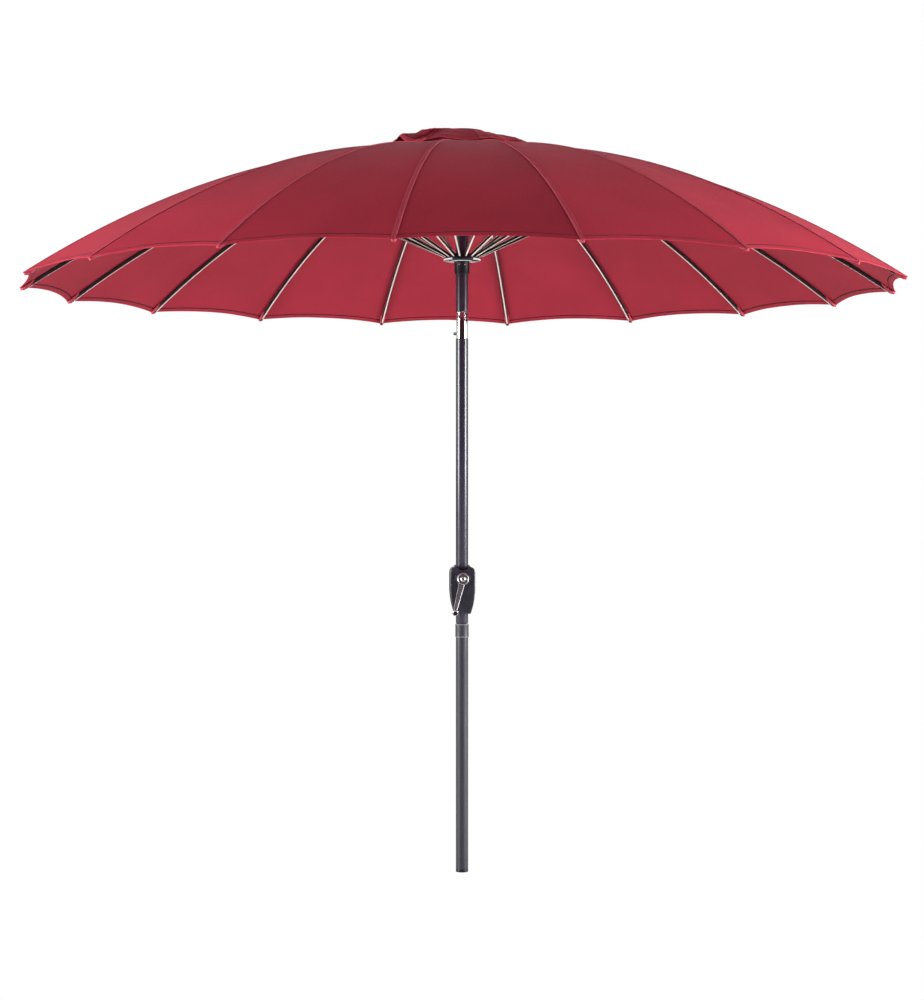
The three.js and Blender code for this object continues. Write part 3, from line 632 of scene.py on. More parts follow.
CAP_RADIUS = 235 * MM
CAP_CLAMP = 62 * MM  # the cap is clamped on the hub inside this radius
CAP_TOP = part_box("vent_cap")[1].z
TIED_FALL = 62 * MM  # of the hem below the cap's top, where it is drawn down
FREE_FALL = 50 * MM
LOW_AZIMUTH = math.radians(270)  # of one of the hem's low points
OPEN_AZIMUTH = math.radians(210)  # where the hem gapes
OPEN_SPREAD = math.radians(18)
OPEN_LIFT = 18 * MM
CAP_SECTIONS = {  # radii in millimetres, and the share of its fall that the cap has made there
    "left": ((62, 132, 157, 173, 211, 221, 235), (0, 0, 0.32, 0.56, 0.65, 0.69, 1)),
    "right": ((62, 82, 95, 131, 188, 235), (0, 0.15, 0.31, 0.47, 0.56, 1)),
    "front": ((62, 100, 150, 200, 235), (0, 0.1, 0.32, 0.68, 1)),
}
FOLDS_AZIMUTH = math.radians(229)  # where the cap is bunched
FOLDS_SPREAD = math.radians(13)
FOLDS_PITCH = math.radians(8)
FOLDS_DEPTH = 4.5 * MM
CAP_COLUMNS = 25
CAP_ROWS = 26


def cap_fall(azimuth):
    """How far the cap's hem lies below its top."""
    raised = 1 - np.abs((azimuth - LOW_AZIMUTH) / STEP % 2 - 1)
    gaping = OPEN_LIFT * np.exp(-((azimuth - OPEN_AZIMUTH) / OPEN_SPREAD) ** 2)
    return TIED_FALL - (TIED_FALL - FREE_FALL + gaping) * raised ** 1.5


def cap_share(radius, azimuth):
    """The share of its fall made at a radius: the cap is puffed up on the left, drawn down on the right."""
    left, right, front = (np.interp(radius / MM, *section) for section in CAP_SECTIONS.values())
    sideways = np.cos(azimuth) ** 2
    return np.where(np.cos(azimuth) < 0, left, right) * sideways + front * (1 - sideways)


def cap_grid(tie):
    """One panel of the vent cap, half a panel either side of the azimuth where it is tied down."""
    s = np.linspace(-1, 1, CAP_COLUMNS)[None, :]
    across = np.abs(s)
    span = CAP_RADIUS - CAP_CLAMP
    open_rows = np.linspace(0, 0.92, CAP_ROWS, endpoint=False)
    v = np.concatenate([open_rows, [1 - d / span for d in reversed(HEM_ROWS)]])
    v = np.unique(np.clip(v, 0, 1))[:, None]
    radius = CAP_CLAMP + (span - 6 * MM * (4 * across * (1 - across))) * v
    other = tie + np.sign(s) * STEP
    x = radius * ((1 - across) * math.cos(tie) + across * np.cos(other))
    y = radius * ((1 - across) * math.sin(tie) + across * np.sin(other))
    azimuth = np.arctan2(y, x) % (2 * math.pi)
    share = cap_share(CAP_CLAMP + span * v, azimuth)
    z = CAP_TOP - cap_fall(azimuth) * share - 1.5 * MM * np.sin(math.pi * across) * np.sin(math.pi * v)
    bunched = np.exp(-((azimuth - FOLDS_AZIMUTH) / FOLDS_SPREAD) ** 2) * np.sin(math.pi * v) ** 0.6
    z = z + FOLDS_DEPTH * bunched * np.sin(2 * math.pi * azimuth / FOLDS_PITCH + 3 * v)
    grid = np.stack([x, y, z], axis=2)
    ripple = np.array([[noise.noise(Vector(point) * 26) for point in row] for row in grid])
    crumple = np.array([[noise.noise(Vector((x * 60, y * 60, 4))) for x, y, _ in row] for row in grid])
    fade = np.sin(math.pi * np.clip(v, 0, 0.9))
    grid[..., 2] += fade * (2 * MM * ripple + 0.9 * MM * crumple)
    return grid


def make_cap_panel(index):
    tie, tied_rib = (2 * index + 1) * STEP, rib_name(2 * index + 1)
    made = cloth(f"vent_panel_{index + 1:02d}", cap_grid(tie), CAP_FABRIC)
    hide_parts("vent_cap")
    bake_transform(made)


def make_cap_tie(index):
    """The short tape that ties the cap's hem to the canopy over a rib."""
    tie = (2 * index + 1) * STEP
    top, foot = CAP_TOP - cap_fall(tie), fabric_z(CAP_RADIUS - 20 * MM)
    line = [(CAP_RADIUS - 3 * MM, top), (CAP_RADIUS - 6 * MM, (top + foot) / 2),
            (CAP_RADIUS - 14 * MM, foot + 3 * MM), (CAP_RADIUS - 26 * MM, foot + 1 * MM)]
    section = in_metres([(-5, -0.5), (5, -0.5), (5, 0.5), (-5, 0.5)])
    shape = turned(swept(line, section), tie)
    plain = [(0.3, 0.3)] * len(shape[0])
    uvs = {"Cloth": plain, "Edges": plain}
    tied_rib = rib_name(2 * index + 1)
    piece(f"vent_tie_{index + 1:02d}", shape, FABRIC, tied_rib, "canopy_fabric", "vent_cap", uvs=uvs)


for index in range(CAP_PANELS):
    make_cap_panel(index)
    make_cap_tie(index)


def make_crown():
    """The cap's flat middle, and the covered button on it."""
    profile = [(0, 0.6), (30, 0.6), (60, 0.8), (68, 0.1), (68.5, -0.8), (60, -0.9), (0, -0.9)]
    shape = lathe(in_metres(profile, CAP_TOP), 72)
    # Painted shade: the canopy cloth is painted darker in a ring about the stitch line at 64 mm, as beside a
    # seam.
    edges = [(SEAM_STITCH + abs(math.hypot(point[0], point[1]) - 64 * MM), 1.0) for point in shape[0]]
    uvs = {"Cloth": [point[:2] for point in shape[0]], "Edges": edges}
    crown = piece("vent_crown", shape, FABRIC, "head", "canopy_fabric", "vent_cap", uvs=uvs)

    shape = lathe(in_metres([(0, 0.4), (21, 0.4), (22, 1.4), (20, 2.6), (12, 3.8), (0, 4.2)], CAP_TOP), 48)
    uvs = {"Cloth": [point[:2] for point in shape[0]], "Edges": [(1.0, 1.0)] * len(shape[0])}
    piece("cap_button", shape, FABRIC, "head", "canopy_fabric", "cap_nut", uvs=uvs)


make_crown()

# ---------------- ribs and struts

RIB_START = 64 * MM
RIB_END = CANOPY_RADIUS - 14 * MM
RIB_SECTION = in_metres([
    (-4, 0), (-4, -9.4), (-3.5, -10.5), (-2.4, -11), (2.4, -11), (3.5, -10.5), (4, -9.4), (4, 0),
    (2.8, 0), (2.8, -9.4), (-2.8, -9.4), (-2.8, 0),
])
STRUT_SECTION = in_metres([
    (-2.6, -3.4), (-1.9, -4.2), (1.9, -4.2), (2.6, -3.4), (2.6, -2.3), (1.3, -1.8), (1.3, 1.8), (2.6, 2.3),
    (2.6, 3.4), (1.9, 4.2), (-1.9, 4.2), (-2.6, 3.4), (-2.6, 2.3), (-1.3, 1.8), (-1.3, -1.8), (-2.6, -2.3),
])
STRUT_FOOT = Vector((STRUT_FOOT_RADIUS, STRUT_FOOT_Z))
STRUT_HEAD = Vector((STRUT_RADIUS, STRUT_Z))
ALONG_STRUT = (STRUT_FOOT - STRUT_HEAD).normalized()


def round_end(x, z, radius, start, turn=math.pi, count=12):
    return [
        (x + radius * math.cos(start + turn * i / count), z + radius * math.sin(start + turn * i / count))
        for i in range(count + 1)
    ]


def rib_shape():
    channel = swept(rib_line(RIB_START, RIB_END, 40, RIB_GAP), RIB_SECTION)
    eye = 4.6 * MM
    outline = round_end(HINGE_RADIUS, HINGE_Z, eye, math.pi / 2)
    outline += [(RIB_START + 10 * MM, HINGE_Z - eye), (RIB_START + 10 * MM, HINGE_Z + eye * 0.9)]
    tongue = prism(outline, -3 * MM, 3 * MM)
    return combined(channel, tongue)


def strut_shape():
    across = Vector((-ALONG_STRUT.y, ALONG_STRUT.x))
    angle = math.atan2(ALONG_STRUT.y, ALONG_STRUT.x)
    length = (STRUT_FOOT - STRUT_HEAD).length / MM

    def points(*pairs):
        """Places given in millimetres down the strut from its pivot and across it."""
        places = [STRUT_HEAD + ALONG_STRUT * down * MM + across * side * MM for down, side in pairs]
        return [tuple(place) for place in places]

    bar = swept(points((26, 0), (length - 8, 0)), STRUT_SECTION)
    eye = prism(round_end(*STRUT_FOOT, 4.9 * MM, 0, 2 * math.pi, 24)[:-1], -2.6 * MM, 2.6 * MM)
    neck_outline = points((length - 12, -4.2), (length - 2, -3.4), (length - 2, 3.4), (length - 12, 4.2))
    neck = prism(neck_outline, -2.5 * MM, 2.5 * MM)
    cheek = round_end(*STRUT_HEAD, 5.6 * MM, angle + math.pi / 2)
    cheek += points((38, -4.2), (42, -2), (42, 2), (38, 4.2))
    cheeks = [prism(cheek, y * MM, (y + 1.6) * MM) for y in (-6.0, 4.4)]
    web = prism(points((32, -4.1), (41, -4.1), (41, 4.1), (32, 4.1)), -5.9 * MM, 5.9 * MM)
    return combined(bar, eye, neck, *cheeks, web)


def rib_reflection_strip_shape():
    """A light strip along the bottom of a rib: a painted reflection of the floor in its black paint."""
    line = rib_line(RIB_START, RIB_END - 4 * MM, 40, RIB_GAP)
    return swept(line, in_metres([(-2.3, -11.3), (2.3, -11.3), (2.3, -10.8), (-2.3, -10.8)]))


def strut_reflection_strips_shape():
    """Light strips along the top and the bottom of a strut: painted reflections in its black paint."""
    line = [tuple(STRUT_HEAD + ALONG_STRUT * 43 * MM), tuple(STRUT_FOOT - ALONG_STRUT * 6 * MM)]
    sections = [[(-2.4, up), (2.4, up), (2.4, up + 0.9), (-2.4, up + 0.9)] for up in (-4.7, 3.8)]
    return combined(*(swept(line, in_metres(section)) for section in sections))


def rivet_shape():
    """A domed rivet across a rib, drawn along Y at the strut's pivot."""
    half = [(0, 7.6), (1.8, 7.4), (3.2, 6.9), (3.9, 6.1), (2.8, 6.1)]
    profile = [(r, -z) for r, z in half] + half[::-1]
    return facing(lathe(in_metres(profile), 24), STRUT_RADIUS, 0, STRUT_Z)


def tip_shape():
    """The moulded cap on a rib's outer end."""
    line = [(radius, fabric_z(radius)) for radius in (RIB_END - 10 * MM, RIB_END + 8 * MM)]
    section = [(-4.8, -2.2), (-4.8, -10), (-3, -12.2), (3, -12.2), (4.8, -10), (4.8, -2.2), (3, -1.6),
               (-3, -1.6)]
    return swept(line, in_metres(section))


PATTERNS = [  # piece, shape, material, body, slot, its edges' width and steps, whether it replaces a node
    ("rib_channel", rib_shape(), RIB_PAINT, "rib", "rib_metal", (0.4 * MM, 2), True),
    ("strut_bar", strut_shape(), RIB_PAINT, "strut", "rib_metal", (0.4 * MM, 2), True),
    ("rivet", rivet_shape(), STEEL, "rib", "rib_metal", None, False),
    ("rib_edge", rib_reflection_strip_shape(), FLOOR_REFLECTION_PAINT, "rib", "rib_metal", None, False),
    ("strut_edges", strut_reflection_strips_shape(), FLOOR_REFLECTION_PAINT, "strut", "rib_metal", None, False),
    ("rib_tip", tip_shape(), BLACK_PLASTIC, "rib", "black_plastic", (0.8 * MM, 3), False),
]


def make_ribs():
    """Every rib and strut shares the meshes of one."""
    patterns = [mesh_object(f"{kind}_pattern", shape, material) for kind, shape, material, *_ in PATTERNS]
    for index in range(RIBS):
        for pattern, (kind, _, _, body, slot, edge, replaces) in zip(patterns, PATTERNS):
            made = new_object(f"{kind}_{index + 1:02d}", pattern.data)
            made.rotation_euler.z = index * STEP
            if edge:
                soften(made, *edge)
            body_name = f"{body}_{index + 1:02d}"
            belongs(made, body_name, slot, *[body_name] * replaces)
    for pattern in patterns:
        bpy.data.objects.remove(pattern)


make_ribs()

# ---------------- hub and runner

RUNNER_SIDES = 96
KEY_HALF = math.radians(14.5)  # half of the runner's keyway, which lets the tilt button pass
APRON_HALF = math.radians(34)
FRONT = -math.pi / 2
RUNNER_SCREWS = (-25, 21)  # degrees from the front
HUB_DISC = (2196 * MM, 2215 * MM)


def wedges(inner, outer, low, high, gap):
    """A block between each two ribs, with curved faces, and a gap in degrees to the ribs' middle planes."""
    half = STEP / 2 - math.radians(gap)
    shape = lathe([(inner, low), (outer, low), (outer, high), (inner, high)], 6, -half, 2 * half)
    return combined(*(turned(shape, index * STEP + STEP / 2) for index in range(RIBS)))


def make_runner():
    low, high = RUNNER_LOW.z, RUNNER_HIGH.z
    profile = [(19.8, 0), (22.2, 0), (23, 0.8), (23, 5), (22.4, 5.6), (22.4, 6.6), (23, 7.2), (23, 34),
               (24.5, 38), (29.4, 42.4), (29.4, 44), (54, 43.6), (55.6, 44.4), (55.6, 46), (52, 46.4),
               (38.5, 46.4), (38.5, 60), (36, 61), (19.8, 61)]
    key_end, turn = BUTTON_AZIMUTH + KEY_HALF, 2 * math.pi - 2 * KEY_HALF
    sleeve = lathe(in_metres(profile, low), RUNNER_SIDES, key_end, turn)
    body = combined(sleeve, wedges(38 * MM, 51.6 * MM, low + 45 * MM, high - 3 * MM, 4.2))
    piece("runner_body", body, BLACK_PLASTIC, "runner", "black_plastic", "runner", edge=0.5 * MM)
    hoop = [(54.0, 43.4), (54.6, 41.6), (55.8, 40.8), (57.0, 41.6), (57.4, 43.4), (56.8, 45.6), (55.6, 46.6),
            (54.4, 46.0)]
    neck = [(30.0, 38.6), (31.0, 38.4), (31.8, 39.2), (31.6, 40.4), (30.6, 40.8)]
    hoops = combined(*(lathe(in_metres(profile, low), RUNNER_SIDES) for profile in (hoop, neck)))
    piece("runner_hoops", hoops, HOOP_PAINTED_HIGHLIGHT, "runner", "wire_steel")
    lip = in_metres([(50, 38), (57.6, 40.4), (58.2, 41.4), (58.2, 47.4), (57.2, 48.4), (50, 48.4)], low)
    apron = lathe(lip, 40, FRONT - APRON_HALF, 2 * APRON_HALF)
    piece("runner_apron", apron, BLACK_PLASTIC, "runner", "black_plastic", edge=0.8 * MM)
    wire = ring_wire(STRUT_FOOT_RADIUS, STRUT_FOOT_Z, WIRE_RADIUS)
    piece("runner_wire", wire, STEEL, "runner", "wire_steel")
    screw = facing(lathe(in_metres([(0, 0), (2.6, 0), (2.6, 0.8), (1.9, 1.5), (0, 1.7)]), 20))
    screw = moved(screw, Matrix.Translation((0, -22.8 * MM, low + 29 * MM)))
    screws = combined(*(turned(screw, math.radians(offset)) for offset in RUNNER_SCREWS))
    piece("runner_screws", screws, CHROME, "runner", "wire_steel")


def make_hub():
    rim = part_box("top_hub")[1].z / MM  # the disc under the vent cap
    core = [(19.4, 2168.4), (25, 2168.4), (26, 2169.4), (26, 2195), (27, 2196), (37.5, 2196), (37.5, 2214),
            (36.5, 2215), (10.5, 2215), (9, 2216.5), (9, rim - 3), (12, rim - 3), (58.5, rim - 2.2),
            (60, rim - 1.2), (59.5, rim - 0.2), (0, rim - 0.2), (0, 2192.8), (19.4, 2192.8)]
    body = combined(lathe(in_metres(core), 72), wedges(37 * MM, 51.7 * MM, *HUB_DISC, 4.6))
    piece("hub_body", body, BLACK_PLASTIC, "head", "black_plastic", "top_hub", edge=0.6 * MM)
    wire = ring_wire(HINGE_RADIUS, HINGE_Z, WIRE_RADIUS)
    piece("hub_wire", wire, STEEL, "head", "wire_steel", "hub_wire_ring")


make_runner()
make_hub()

# ---------------- poles

POLE_SIDES = 96


def rounded_tube(radius, wall, low, high, lip=0.6 * MM):
    """Profile of a tube with rounded lips."""
    inner = radius - wall
    return [(inner, low + lip / 2), (inner + lip / 2, low), (radius - lip, low), (radius, low + lip),
            (radius, high - lip), (radius - lip, high), (inner + lip / 2, high), (inner, high - lip / 2)]


def make_tube(name, replaced, wall, material, body, slot):
    low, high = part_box(replaced)
    shape = lathe(rounded_tube(POLE_RADIUS, wall, low.z, high.z), POLE_SIDES)
    piece(name, shape, material, body, slot, replaced)


def make_middle_tube():
    """The middle pole, with a narrower lower end that sits in the collar."""
    low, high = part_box("middle_pole")
    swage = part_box("pole_collar")[1].z + 1.0 * MM  # the narrower end in the collar stops here
    spigot, bore = 17.4 * MM, POLE_RADIUS - 1.5 * MM
    profile = [(spigot - 1.5 * MM, low.z), (spigot, low.z + 0.5 * MM), (spigot, swage),
               (POLE_RADIUS - 0.5 * MM, swage + 3 * MM), (POLE_RADIUS, swage + 4.5 * MM),
               (POLE_RADIUS, high.z - 0.6 * MM), (POLE_RADIUS - 0.6 * MM, high.z), (bore, high.z),
               (bore, swage + 6 * MM), (spigot - 1.5 * MM, swage + 2 * MM)]
    piece("middle_tube", lathe(profile, POLE_SIDES), GLOSS_COAT, "mast", "gloss_pole_coat", "middle_pole")


def make_collar():
    low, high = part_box("pole_collar")
    radius, bore, seat = high.x, POLE_RADIUS + 0.2 * MM, high.z - 17.6 * MM
    waist = radius - 0.5 * MM
    profile = [(bore, low.z), (radius - 0.8 * MM, low.z), (radius, low.z + 0.8 * MM),
               (radius, low.z + 3.2 * MM), (waist, low.z + 3.8 * MM), (waist, high.z - 5 * MM),
               (radius, high.z - 4.4 * MM),
               (radius, high.z - 1 * MM), (radius - 1 * MM, high.z), (18 * MM, high.z), (18 * MM, seat),
               (bore, seat)]
    piece("collar_ring", lathe(profile, POLE_SIDES), COLLAR_PLASTIC, "mast", "collar_plastic", "pole_collar")
    # Thin rings at the collar's top and bottom lips, painted lighter: painted highlights on the rounded
    # lips.
    heights = (low.z + 0.9 * MM, high.z - 0.9 * MM)
    lip_highlights = combined(*(ring_wire(radius - 0.3 * MM, z, 0.8 * MM) for z in heights))
    piece("collar_lip_highlights", lip_highlights, DIM_PAINTED_HIGHLIGHT, "mast", "collar_plastic")


def make_foot():
    low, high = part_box("pole_foot_plug")
    top = (high.z - low.z) / MM
    profile = [(0, 1.5), (11, 1.5), (12, 0), (18, 0), (19, 1), (19, 7.6), (18.2, 8.9), (17.3, 8.9),
               (17.3, top - 2), (16, top), (0, top)]
    shape = lathe(in_metres(profile, low.z), POLE_SIDES)
    piece("foot_plug", shape, BLACK_PLASTIC, "mast", "black_plastic", "pole_foot_plug")


make_tube("lower_tube", "lower_pole", 1.2 * MM, MATT_COAT, "mast", "matt_pole_coat")
make_middle_tube()
make_tube("upper_tube", "upper_pole", 1.5 * MM, GLOSS_COAT, "head", "gloss_pole_coat")
make_collar()
make_foot()

# ---------------- tilt joint
# The fork and the knuckle are drawn with the pin along X, and turned to the tilt azimuth.

BARREL_RADIUS = 17.6 * MM
SPIGOT_RADIUS = 17.0 * MM
BUTTON_Z = (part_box("tilt_button")[0].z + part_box("tilt_button")[1].z) / 2
FORK_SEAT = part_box("middle_pole")[1].z + 0.3 * MM
CHEEK_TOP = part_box("tilt_fork")[1].z
KNUCKLE_FOOT = CHEEK_TOP + 0.5 * MM
SPIGOT_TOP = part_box("tilt_knuckle")[1].z
PIN_PLACE = Matrix.Translation((0, 0, TILT_Z)) @ Matrix.Rotation(math.pi / 2, 4, "Y")
# Painted reflection: black strips on the front of the chrome fork and knuckle stand in for the dark
# reflection there.
DARK_REFLECTION_AZIMUTH = math.radians(266)
DARK_REFLECTION_HALF = math.radians(8)
DARK_REFLECTION_STRIPS = (  # black strips on the chrome's front, a painted dark reflection: piece, radius, bottom, top and body
    ("fork_dark_reflection", BARREL_RADIUS, FORK_SEAT + 1 * MM, TILT_Z - 4 * MM, "mast"),
    ("knuckle_dark_reflection", SPIGOT_RADIUS, KNUCKLE_FOOT + 1 * MM, SPIGOT_TOP - 0.5 * MM, "head"),
)


def make_fork():
    """A round barrel, cut to two cheeks with one chamfered to let the head tip."""
    profile = [(0, FORK_SEAT), (BARREL_RADIUS - 0.6 * MM, FORK_SEAT), (BARREL_RADIUS, FORK_SEAT + 0.6 * MM),
               (BARREL_RADIUS, CHEEK_TOP - 0.8 * MM), (BARREL_RADIUS - 0.8 * MM, CHEEK_TOP), (0, CHEEK_TOP)]
    fork = mesh_object("fork_barrel", lathe(profile, POLE_SIDES), CHROME)
    side, cheek_gap = 30 * MM, 9.3 * MM
    notch = [(-side, TILT_Z - 2.5 * MM), (-20 * MM, TILT_Z + 3.4 * MM), (-3.5 * MM, CHEEK_TOP + 0.2 * MM),
             (-3.5 * MM, CHEEK_TOP + side), (-side, CHEEK_TOP + side)]
    chamfer = turned(prism(notch, -side, side), math.pi / 2)
    low, high = TILT_Z - 15 * MM, CHEEK_TOP + side
    slot = prism([(-cheek_gap, low), (cheek_gap, low), (cheek_gap, high), (-cheek_gap, high)], -side, side)
    pin_hole = moved(disc(3.3 * MM, -side, side, 32), PIN_PLACE)
    button_bore = facing(disc(4.8 * MM, 8 * MM, side, 32), 0, 0, BUTTON_Z)
    carve(fork, chamfer, slot, pin_hole, button_bore)
    fork.rotation_euler.z = TILT_AZIMUTH
    soften(fork, 0.5 * MM, 2)
    belongs(fork, "mast", "tilt_chrome", "tilt_fork")


def make_knuckle():
    outline = round_end(0, TILT_Z, 12 * MM, math.pi, math.pi, 28)
    outline += [(12 * MM, KNUCKLE_FOOT + 2 * MM), (-12 * MM, KNUCKLE_FOOT + 2 * MM)]
    tongue = turned(prism(outline, -9 * MM, 9 * MM), math.pi / 2)
    profile = [(0, KNUCKLE_FOOT), (SPIGOT_RADIUS - 0.6 * MM, KNUCKLE_FOOT),
               (SPIGOT_RADIUS, KNUCKLE_FOOT + 0.6 * MM), (SPIGOT_RADIUS, SPIGOT_TOP), (0, SPIGOT_TOP)]
    spigot = lathe(profile, POLE_SIDES)
    knuckle = mesh_object("knuckle", combined(tongue, spigot), CHROME)
    knuckle.rotation_euler.z = TILT_AZIMUTH
    soften(knuckle, 0.5 * MM, 2)
    belongs(knuckle, "head", "tilt_chrome", "tilt_knuckle")


def make_tilt_details():
    # Painted reflection: the black strips on the chrome.
    for name, radius, low, high, body in DARK_REFLECTION_STRIPS:
        inner, outer = radius - 1 * MM, radius + 0.15 * MM
        profile = [(inner, low), (outer, low), (outer, high), (inner, high)]
        dark_reflection = lathe(profile, 8, DARK_REFLECTION_AZIMUTH - DARK_REFLECTION_HALF, 2 * DARK_REFLECTION_HALF)
        piece(name, dark_reflection, BLACK_PLASTIC, body, "tilt_chrome")
    head = [(0, 19.5), (2.2, 19.4), (3.6, 18.9), (4.2, 18.0), (4.2, 17.4), (3.0, 17.4)]
    profile = [(r, -z) for r, z in head] + head[::-1]
    pin = turned(moved(lathe(in_metres(profile), 32), PIN_PLACE), TILT_AZIMUTH)
    piece("pin_rivet", pin, HOUSING_PLASTIC, "mast", "tilt_chrome", "tilt_pin")
    cap = [(0, 2.2), (2.4, 2.2), (2.4, 14), (4.5, 14), (4.5, 26.6), (4.1, 27.7), (3.0, 28.4), (0, 28.6)]
    button = turned(facing(lathe(in_metres(cap), 32), 0, 0, BUTTON_Z), TILT_AZIMUTH)
    piece("button_cap", button, HOUSING_PLASTIC, "tilt_button", "housing_plastic", "tilt_button")


make_fork()
make_knuckle()
make_tilt_details()

# ---------------- crank


def bend(start, pull, end, steps, first=0):
    """Points on the curve from start to end that leans towards a third point."""
    shares = [i / steps for i in range(first, steps + 1)]
    return [tuple((1 - t) ** 2 * a + 2 * t * (1 - t) * b + t ** 2 * c for a, b, c in zip(start, pull, end))
            for t in shares]


def housing_outline():
    """The housing from the front: wide shoulders, narrow foot."""
    low, high = (corner.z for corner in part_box("crank_housing_front"))
    right = in_metres([(23, 0), (25, 1.5)], low)
    right += bend(*in_metres([(25, 1.5), (34, 28), (36, 48)], low), 8, 1)
    right += in_metres([(38.5, 71), (38.5, 122)], low)
    right += bend(*in_metres([(38.5, 126), (38.5, 141), (25.5, 142.5)], low), 6)
    right += in_metres([(22, -0.6), (18.5, 0)], high)
    return right + [(-x, z) for x, z in reversed(right)]


HOUSING_SCREWS = [(-27, 921), (27, 921), (-16, 812), (16, 812)]


def make_housing():
    front_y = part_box("crank_housing_front")[0].y
    rear_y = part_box("crank_housing_rear")[1].y
    channel = disc(POLE_RADIUS + 0.4 * MM, CRANK_Z - 0.15, CRANK_Z + 0.1, 72)
    ball = lathe([(math.sin(math.pi * i / 24), -math.cos(math.pi * i / 24)) for i in range(25)], 48)
    scoop_size = Matrix.Diagonal((27 * MM, 62 * MM, 25 * MM, 1))
    scoop = moved(ball, Matrix.Translation((0, -14 * MM, CRANK_Z + 46 * MM)) @ scoop_size)
    outline, joint_gap = housing_outline(), 0.3 * MM
    shells = (("housing_front", front_y, -joint_gap), ("housing_rear", joint_gap, rear_y))
    made = [mesh_object(name, prism(outline, near, far), HOUSING_PLASTIC) for name, near, far in shells]
    for shell, replaced in zip(made, ("crank_housing_front", "crank_housing_rear")):
        soften(shell, 7 * MM, 5)
        shell.modifiers["edges"].angle_limit = math.radians(60)
        carve(shell, channel, scoop)
        belongs(shell, "mast", "housing_plastic", replaced)
    bezel = in_metres([(20.2, 0), (23.6, 0), (23.9, 1.4), (23.2, 2.6), (21.2, 2.9), (20.2, 1.6)])
    ring = facing(lathe(bezel, 64), 0, front_y + 0.4 * MM, CRANK_Z)
    piece("housing_bezel", ring, HOUSING_PLASTIC, "mast", "housing_plastic")
    profile = [(0, -1), (3.0, -1), (3.0, 0.4), (2.2, 0.9), (1.4, 0.9), (1.3, 0.3), (0, 0.3)]
    screw = moved(lathe(in_metres(profile), 24), Matrix.Rotation(-math.pi / 2, 4, "X"))
    back = [moved(screw, Matrix.Translation((x * MM, rear_y - 0.2 * MM, z * MM))) for x, z in HOUSING_SCREWS]
    piece("housing_screws", combined(*back), STEEL, "mast", "housing_plastic")


HUB_RING = [(0, 53.2), (17.5, 53.2), (19.4, 54.4), (19.7, 56), (19.7, 62), (18.6, 64.6), (16.6, 65.4),
            (14.8, 64.2), (13.4, 63.4), (11.6, 63.6), (11.2, 65.0), (0, 65.0)]
HUB_COLLAR = [(15.2, 64.2), (16.8, 65.2), (18.2, 64.6), (17.6, 66.0), (16.4, 66.5), (15.2, 65.8)]
HUB_NUT = [(0, 64.8), (10.4, 64.8), (10.4, 66.4), (9.2, 69.0), (6.4, 70.6), (5.6, 70.0), (5.0, 68.6),
           (0, 68.2)]
GRIP = [(3.3, 65.8), (6.6, 65.8), (7.8, 68), (8.6, 74), (9.4, 84), (9.6, 92.6), (9.0, 95.4), (7.4, 97.0),
        (5.6, 96.6), (4.9, 94.6), (0, 94.6), (0, 93), (3.3, 93)]
GRIP_INSERT = [(0, 94.2), (4.8, 94.2), (4.8, 95.6), (4.0, 96.2), (0, 96.4)]
ARM_PAINTED_HIGHLIGHTS = (  # painted highlights along the arm's edges, bright on the right and dim on the left: piece, outer and inner distance from the arm's middle, narrowing and material
    ("arm_painted_highlight_right", 9.3, 7.6, 4.0, BRIGHT_PAINTED_HIGHLIGHT),
    ("arm_painted_highlight_left", -9.3, -8.0, -4.0, DIM_PAINTED_HIGHLIGHT),
)


def make_crank():
    start, end = Vector((0, 0, CRANK_Z)), Vector((KNOB.x, 0, KNOB.z))
    along = (end - start).normalized()
    across = Vector((-along.z, 0, along.x))

    def about_crank(profile, sides):
        return facing(lathe(in_metres(profile), sides), 0, 0, CRANK_Z)

    def about_knob(profile, sides):
        return facing(lathe(in_metres(profile), sides), KNOB.x, 0, KNOB.z)

    def plate(pairs, low, high):
        """A plate through places given by where on the arm, how far across it and how far along it."""
        places = [origin + across * side * MM + along * ahead * MM for origin, side, ahead in pairs]
        return prism([(place.x, place.z) for place in places], low * MM, high * MM)

    outline = [(start, 9.4, 14), (start, -9.4, 14), (end, -5.6, 0), (end, -3.2, 4.6), (end, 3.2, 4.6),
               (end, 5.6, 0)]
    spindle = facing(disc(3 * MM, 60 * MM, 92 * MM, 24), KNOB.x, 0, KNOB.z)
    arm = combined(about_crank(HUB_RING, 64), plate(outline, -64, -57), spindle)
    piece("arm_body", arm, ARM_PLASTIC, "crank", "crank_plastic", "crank_arm", edge=1.2 * MM, steps=3)
    for name, outer, inner, taper, material in ARM_PAINTED_HIGHLIGHTS:
        strip = [(start, outer, 17), (start, inner, 17), (end, inner - taper, -7), (end, outer - taper, -7)]
        piece(name, plate(strip, -64.9, -63), material, "crank", "knob_chrome")
    piece("arm_collar", about_crank(HUB_COLLAR, 64), HUB_SATIN, "crank", "knob_chrome")
    piece("arm_nut", about_crank(HUB_NUT, 6), HUB_SATIN, "crank", "knob_chrome")
    piece("knob_grip", about_knob(GRIP, 48), CHROME, "crank_knob", "knob_chrome", "crank_knob")
    piece("knob_insert", about_knob(GRIP_INSERT, 32), BLACK_PLASTIC, "crank_knob", "black_plastic")


make_housing()
make_crank()

# ---------------- CAD nodes that stay

STAYING = {
    "crank_drum": BLACK_PLASTIC,
    "lift_pulley": BLACK_PLASTIC,
    "lift_cord_lower": CORD,
    "lift_cord_upper": CORD,
    "lift_cord_outer": CORD,
}
for name, material in STAYING.items():
    materials = frame["nodes"][name].data.materials
    materials.clear()
    materials.append(material)

# ---------------- camera and studio

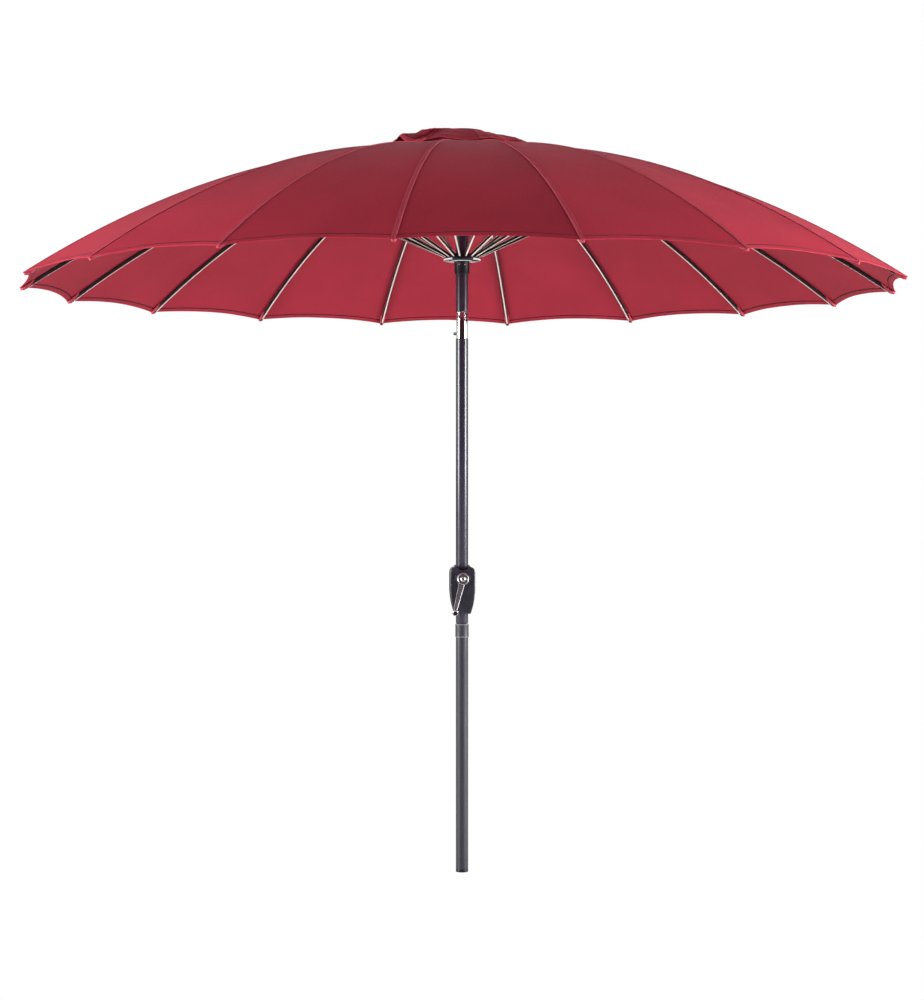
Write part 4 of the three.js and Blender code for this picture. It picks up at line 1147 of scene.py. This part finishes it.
CAMERA_DISTANCE = 6.607
CAMERA_AZIMUTH = math.radians(267.2)
CAMERA_HEIGHT = 1.172
CAMERA_PITCH = math.radians(-0.23)
SENSOR = 36.0
LENS = 77.2
SKY_LIGHT = 0.02  # of the room above the umbrella
BACKDROP_LIGHT = 0.6  # of the room's far side, low down
FRONT_LIGHT = 0.02  # of the room's near side, low down
LIGHT_DISTANCE = 6.0
LIGHT_AIM = Vector((0, 0, 1.9))
SOFTBOXES = [  # azimuth in degrees, height of the middle, width and height in metres, watts
    (0, 3.4, 2.6, 2.2, 140),
    (180, 3.4, 2.6, 2.2, 140),
    (200, 2.1, 2.6, 3.7, 590),
    (340, 2.1, 2.6, 3.7, 750),
]
FLOOR_HALF = 60.0
WHITE = (1, 1, 1, 1)


def make_camera():
    data = bpy.data.cameras.new("camera")
    data.sensor_fit = "VERTICAL"
    data.sensor_height = SENSOR
    data.lens = LENS
    camera = new_object("camera", data)
    camera.location = spoke(CAMERA_AZIMUTH, CAMERA_DISTANCE, CAMERA_HEIGHT)
    camera.rotation_euler = (math.pi / 2 + CAMERA_PITCH, 0, CAMERA_AZIMUTH + math.pi / 2)
    bpy.context.scene.camera = camera


def white_to_camera(tree, lit, output, white_kind):
    """The paper-white surround: what the camera sees directly is plain white."""
    white = node(tree, white_kind, {"Color": WHITE}).outputs[0]
    to_camera = node(tree, "ShaderNodeLightPath").outputs["Is Camera Ray"]
    choice = node(tree, "ShaderNodeMixShader", {"Fac": to_camera, 1: lit, 2: white})
    feed(tree, output, choice.outputs[0])


def make_floor():
    paint = Shader("floor", (0.6, 0.6, 0.6), 0.9)
    corners = [(-1, -1), (1, -1), (1, 1), (-1, 1)]
    points = [(x * FLOOR_HALF, y * FLOOR_HALF, 0) for x, y in corners]
    mesh_object("floor", (points, [(0, 1, 2, 3)]), paint.material)
    surface = paint.tree.nodes["Material Output"].inputs["Surface"]
    white_to_camera(paint.tree, paint.shader.outputs[0], surface, "ShaderNodeEmission")


def make_room():
    world = bpy.data.worlds.new("studio")
    bpy.context.scene.world = world
    world.use_nodes = True
    tree = world.node_tree
    background = tree.nodes["Background"]
    place = node(tree, "ShaderNodeTexCoord").outputs["Generated"]
    _, away, upwards = node(tree, "ShaderNodeSeparateXYZ", {0: place}).outputs
    low_light = map_range(tree, away, -0.2, 0.4, FRONT_LIGHT, BACKDROP_LIGHT)
    room_light = map_range(tree, upwards, 0.15, 0.5, low_light, SKY_LIGHT)
    feed(tree, background.inputs["Color"], WHITE)
    feed(tree, background.inputs["Strength"], room_light)
    surface = tree.nodes["World Output"].inputs["Surface"]
    white_to_camera(tree, background.outputs[0], surface, "ShaderNodeBackground")


def make_softbox(azimuth, middle, width, height, power):
    data = bpy.data.lights.new(f"softbox_{azimuth}", "AREA")
    data.shape = "RECTANGLE"
    data.size, data.size_y = width, height
    data.energy = power
    light = new_object(f"softbox_{azimuth}", data)
    light.location = spoke(math.radians(azimuth), LIGHT_DISTANCE, middle)
    light.rotation_euler = (LIGHT_AIM - light.location).to_track_quat("-Z", "Y").to_euler()
    light.visible_camera = False


make_camera()
make_floor()
make_room()
for box in SOFTBOXES:
    make_softbox(*box)
bpy.context.scene.view_settings.view_transform = "Standard"
